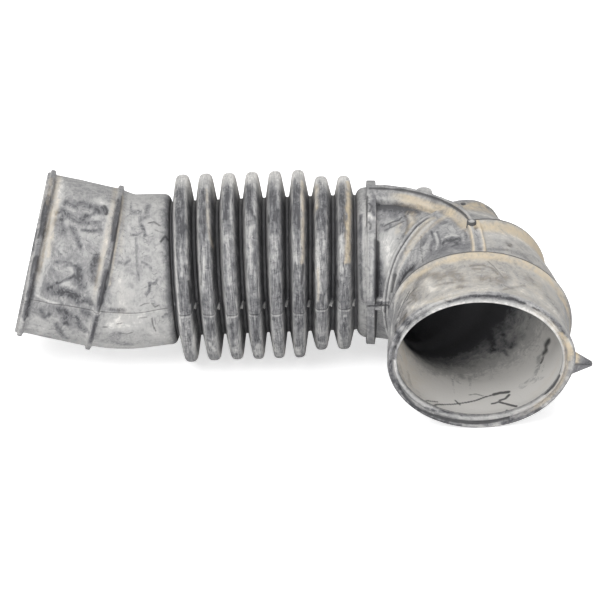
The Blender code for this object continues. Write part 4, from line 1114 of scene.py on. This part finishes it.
def makeTab(look):
    # sections from the rim to the tip: a rounded block whose height and thickness taper to the point
    t = tab
    edge = mouth["halfWidth"]
    out = np.linspace(t["base"], edge + t["length"], 40)
    share = np.clip((out - edge) / t["length"], 0, 1)
    close = np.sqrt(np.clip(1 - ((share - 0.965) / 0.035).clip(0, 1) ** 2, 0.0, 1))
    high = (t["halfHeight"] + (t["tip"] - t["halfHeight"]) * share) * close
    thick = t["thickness"] / 2 * (1 - 0.5 * share) * close
    turn = np.arange(96) / 96 * 2 * math.pi
    a, b = [np.sign(x) * np.abs(x) ** t["squareness"] for x in (np.cos(turn), np.sin(turn))]
    centre, near, along, up = directions(ductEnd)
    points = centre - out[:, None, None] * near - (t["back"] + thick[:, None] * a)[..., None] * along \
        + (high[:, None] * b - (t["drop"] + t["tipDrop"] * share)[:, None])[..., None] * up
    rise = np.append((b * np.ones(len(out))[:, None]).ravel(), [0, 0])
    far = np.append((share[:, None] + 0 * turn).ravel(), [0, 1])
    base = 1 - smoothStep(far, 0.2, 0.5)
    layers = {"tone": 0.38 - 0.2 * smoothStep(-rise, -0.4, 0.4),
              "mark": 0.6 * smoothStep(far, 0.3, 0.8) * (rise > 0),
              "ochre": 1.2 * smoothStep(rise, -0.2, 0.3) * base,
              "pale": 0.5 * bump(rise - 0.45, 0.3) * base,
              "crease": 0.8 * bump(rise, 0.2) + 0.6 * smoothStep(far, 0.93, 1.0)}
    return cappedSkin("hose_tab", points, [points[0].mean(0), points[-1].mean(0)], layers, (0.3, 0.5), look,
                      turned=True)


plainRubber = makeRubber("rubberSkin", 0.25)
streakedRubber = makeRubber("rubberFolds", 1.5)
makeCuff(plainRubber)
makeBellows(streakedRubber)
makeElbow(plainRubber)
makeMouth(plainRubber)
makePost("peg", plainRubber)
makePost("boss", plainRubber)
makeTab(plainRubber)


# White table, soft light from above, in front and to the left, and the photo's camera
stage = {
    "floorColour": (0.93, 0.93, 0.935, 1), "floorGlow": 0.56, "worldStrength": 0.30,
    "lamps": [  # name, place, aim, width, height, watts
        ("keyLamp", (-0.75, -0.95, 1.35), (0.0, 0.0, 0.04), 1.1, 0.9, 16.0),
        ("frontLamp", (0.1, -1.6, 0.5), (0.06, 0.0, 0.04), 0.6, 0.4, 8.5),
        ("topLamp", (0.15, 0.35, 1.6), (0.0, 0.0, 0.0), 1.2, 1.0, 10.0),
        ("sideLamp", (1.3, -0.8, 0.7), (0.05, 0.0, 0.04), 0.9, 0.8, 4.0),
    ],
}


def makeStage():
    mesh = bpy.data.meshes.new("table")
    mesh.from_pydata([(-8, -8, 0), (8, -8, 0), (8, 8, 0), (-8, 8, 0)], [], [(0, 1, 2, 3)])
    table = bpy.data.objects.new("table", mesh)
    bpy.context.scene.collection.objects.link(table)
    material = bpy.data.materials.new("tableWhite")
    material.use_nodes = True
    tree = material.node_tree
    shader = tree.nodes["Principled BSDF"]
    shader.inputs["Base Color"].default_value = stage["floorColour"]
    shader.inputs["Roughness"].default_value = 0.7
    shader.inputs["Specular IOR Level"].default_value = 0.1
    rays = tree.nodes.new("ShaderNodeLightPath")
    seen = Value(tree, rays.outputs["Is Camera Ray"])
    glow = node(tree, "ShaderNodeEmission", {},
                {"Color": (1, 1, 1, 1), "Strength": seen * stage["floorGlow"]})
    both = node(tree, "ShaderNodeAddShader", {}, {0: Value(tree, shader.outputs[0]), 1: glow})
    tree.links.new(both.socket, tree.nodes["Material Output"].inputs["Surface"])
    mesh.materials.append(material)

    world = bpy.data.worlds.new("studio")
    bpy.context.scene.world = world
    world.use_nodes = True
    tree = world.node_tree
    rays = tree.nodes.new("ShaderNodeLightPath")
    seen = Value(tree, rays.outputs["Is Camera Ray"]).most(Value(tree, rays.outputs["Is Glossy Ray"])).most(
        Value(tree, rays.outputs["Is Transmission Ray"]))
    strength = seen * (1 - stage["worldStrength"]) + stage["worldStrength"]
    back = tree.nodes["Background"]
    back.inputs["Color"].default_value = (1, 1, 1, 1)
    tree.links.new(strength.socket, back.inputs["Strength"])

    for name, place, aim, width, height, power in stage["lamps"]:
        light = bpy.data.lights.new(name, "AREA")
        light.shape = "RECTANGLE"
        light.size = width
        light.size_y = height
        light.energy = power
        lamp = bpy.data.objects.new(name, light)
        lamp.location = place
        lamp.rotation_euler = (Vector(aim) - Vector(place)).to_track_quat("-Z", "Y").to_euler()
        bpy.context.scene.collection.objects.link(lamp)
    print("made the table and the lamps")


def makeCamera():
    # the camera looks down at 32 degrees on the mould's plane from 2 m away, and is laid down with the duct
    down = 32 * degree
    back = np.array([0, -math.cos(down), math.sin(down)])
    up = np.array([0, math.sin(down), math.cos(down)])
    aim = np.array([np.interp(route["bendStart"], walk, walkPoints[:, k]) for k in range(3)])
    aim = aim + np.array([-31.45, 0, 0]) - 19 * up
    place = ((aim + 2000 * back) @ layDown.T + np.array(route["place"])) * mm
    axes = np.stack([[1, 0, 0], up, back]) @ layDown.T
    data = bpy.data.cameras.new("camera")
    data.lens = 240
    data.sensor_width = 36
    camera = bpy.data.objects.new("camera", data)
    bpy.context.scene.collection.objects.link(camera)
    matrix = np.eye(4)
    matrix[:3, :3] = axes.T
    matrix[:3, 3] = place
    camera.matrix_world = Matrix(matrix.tolist())
    bpy.context.scene.camera = camera
    bpy.context.scene.view_settings.view_transform = "Standard"


makeStage()
makeCamera()
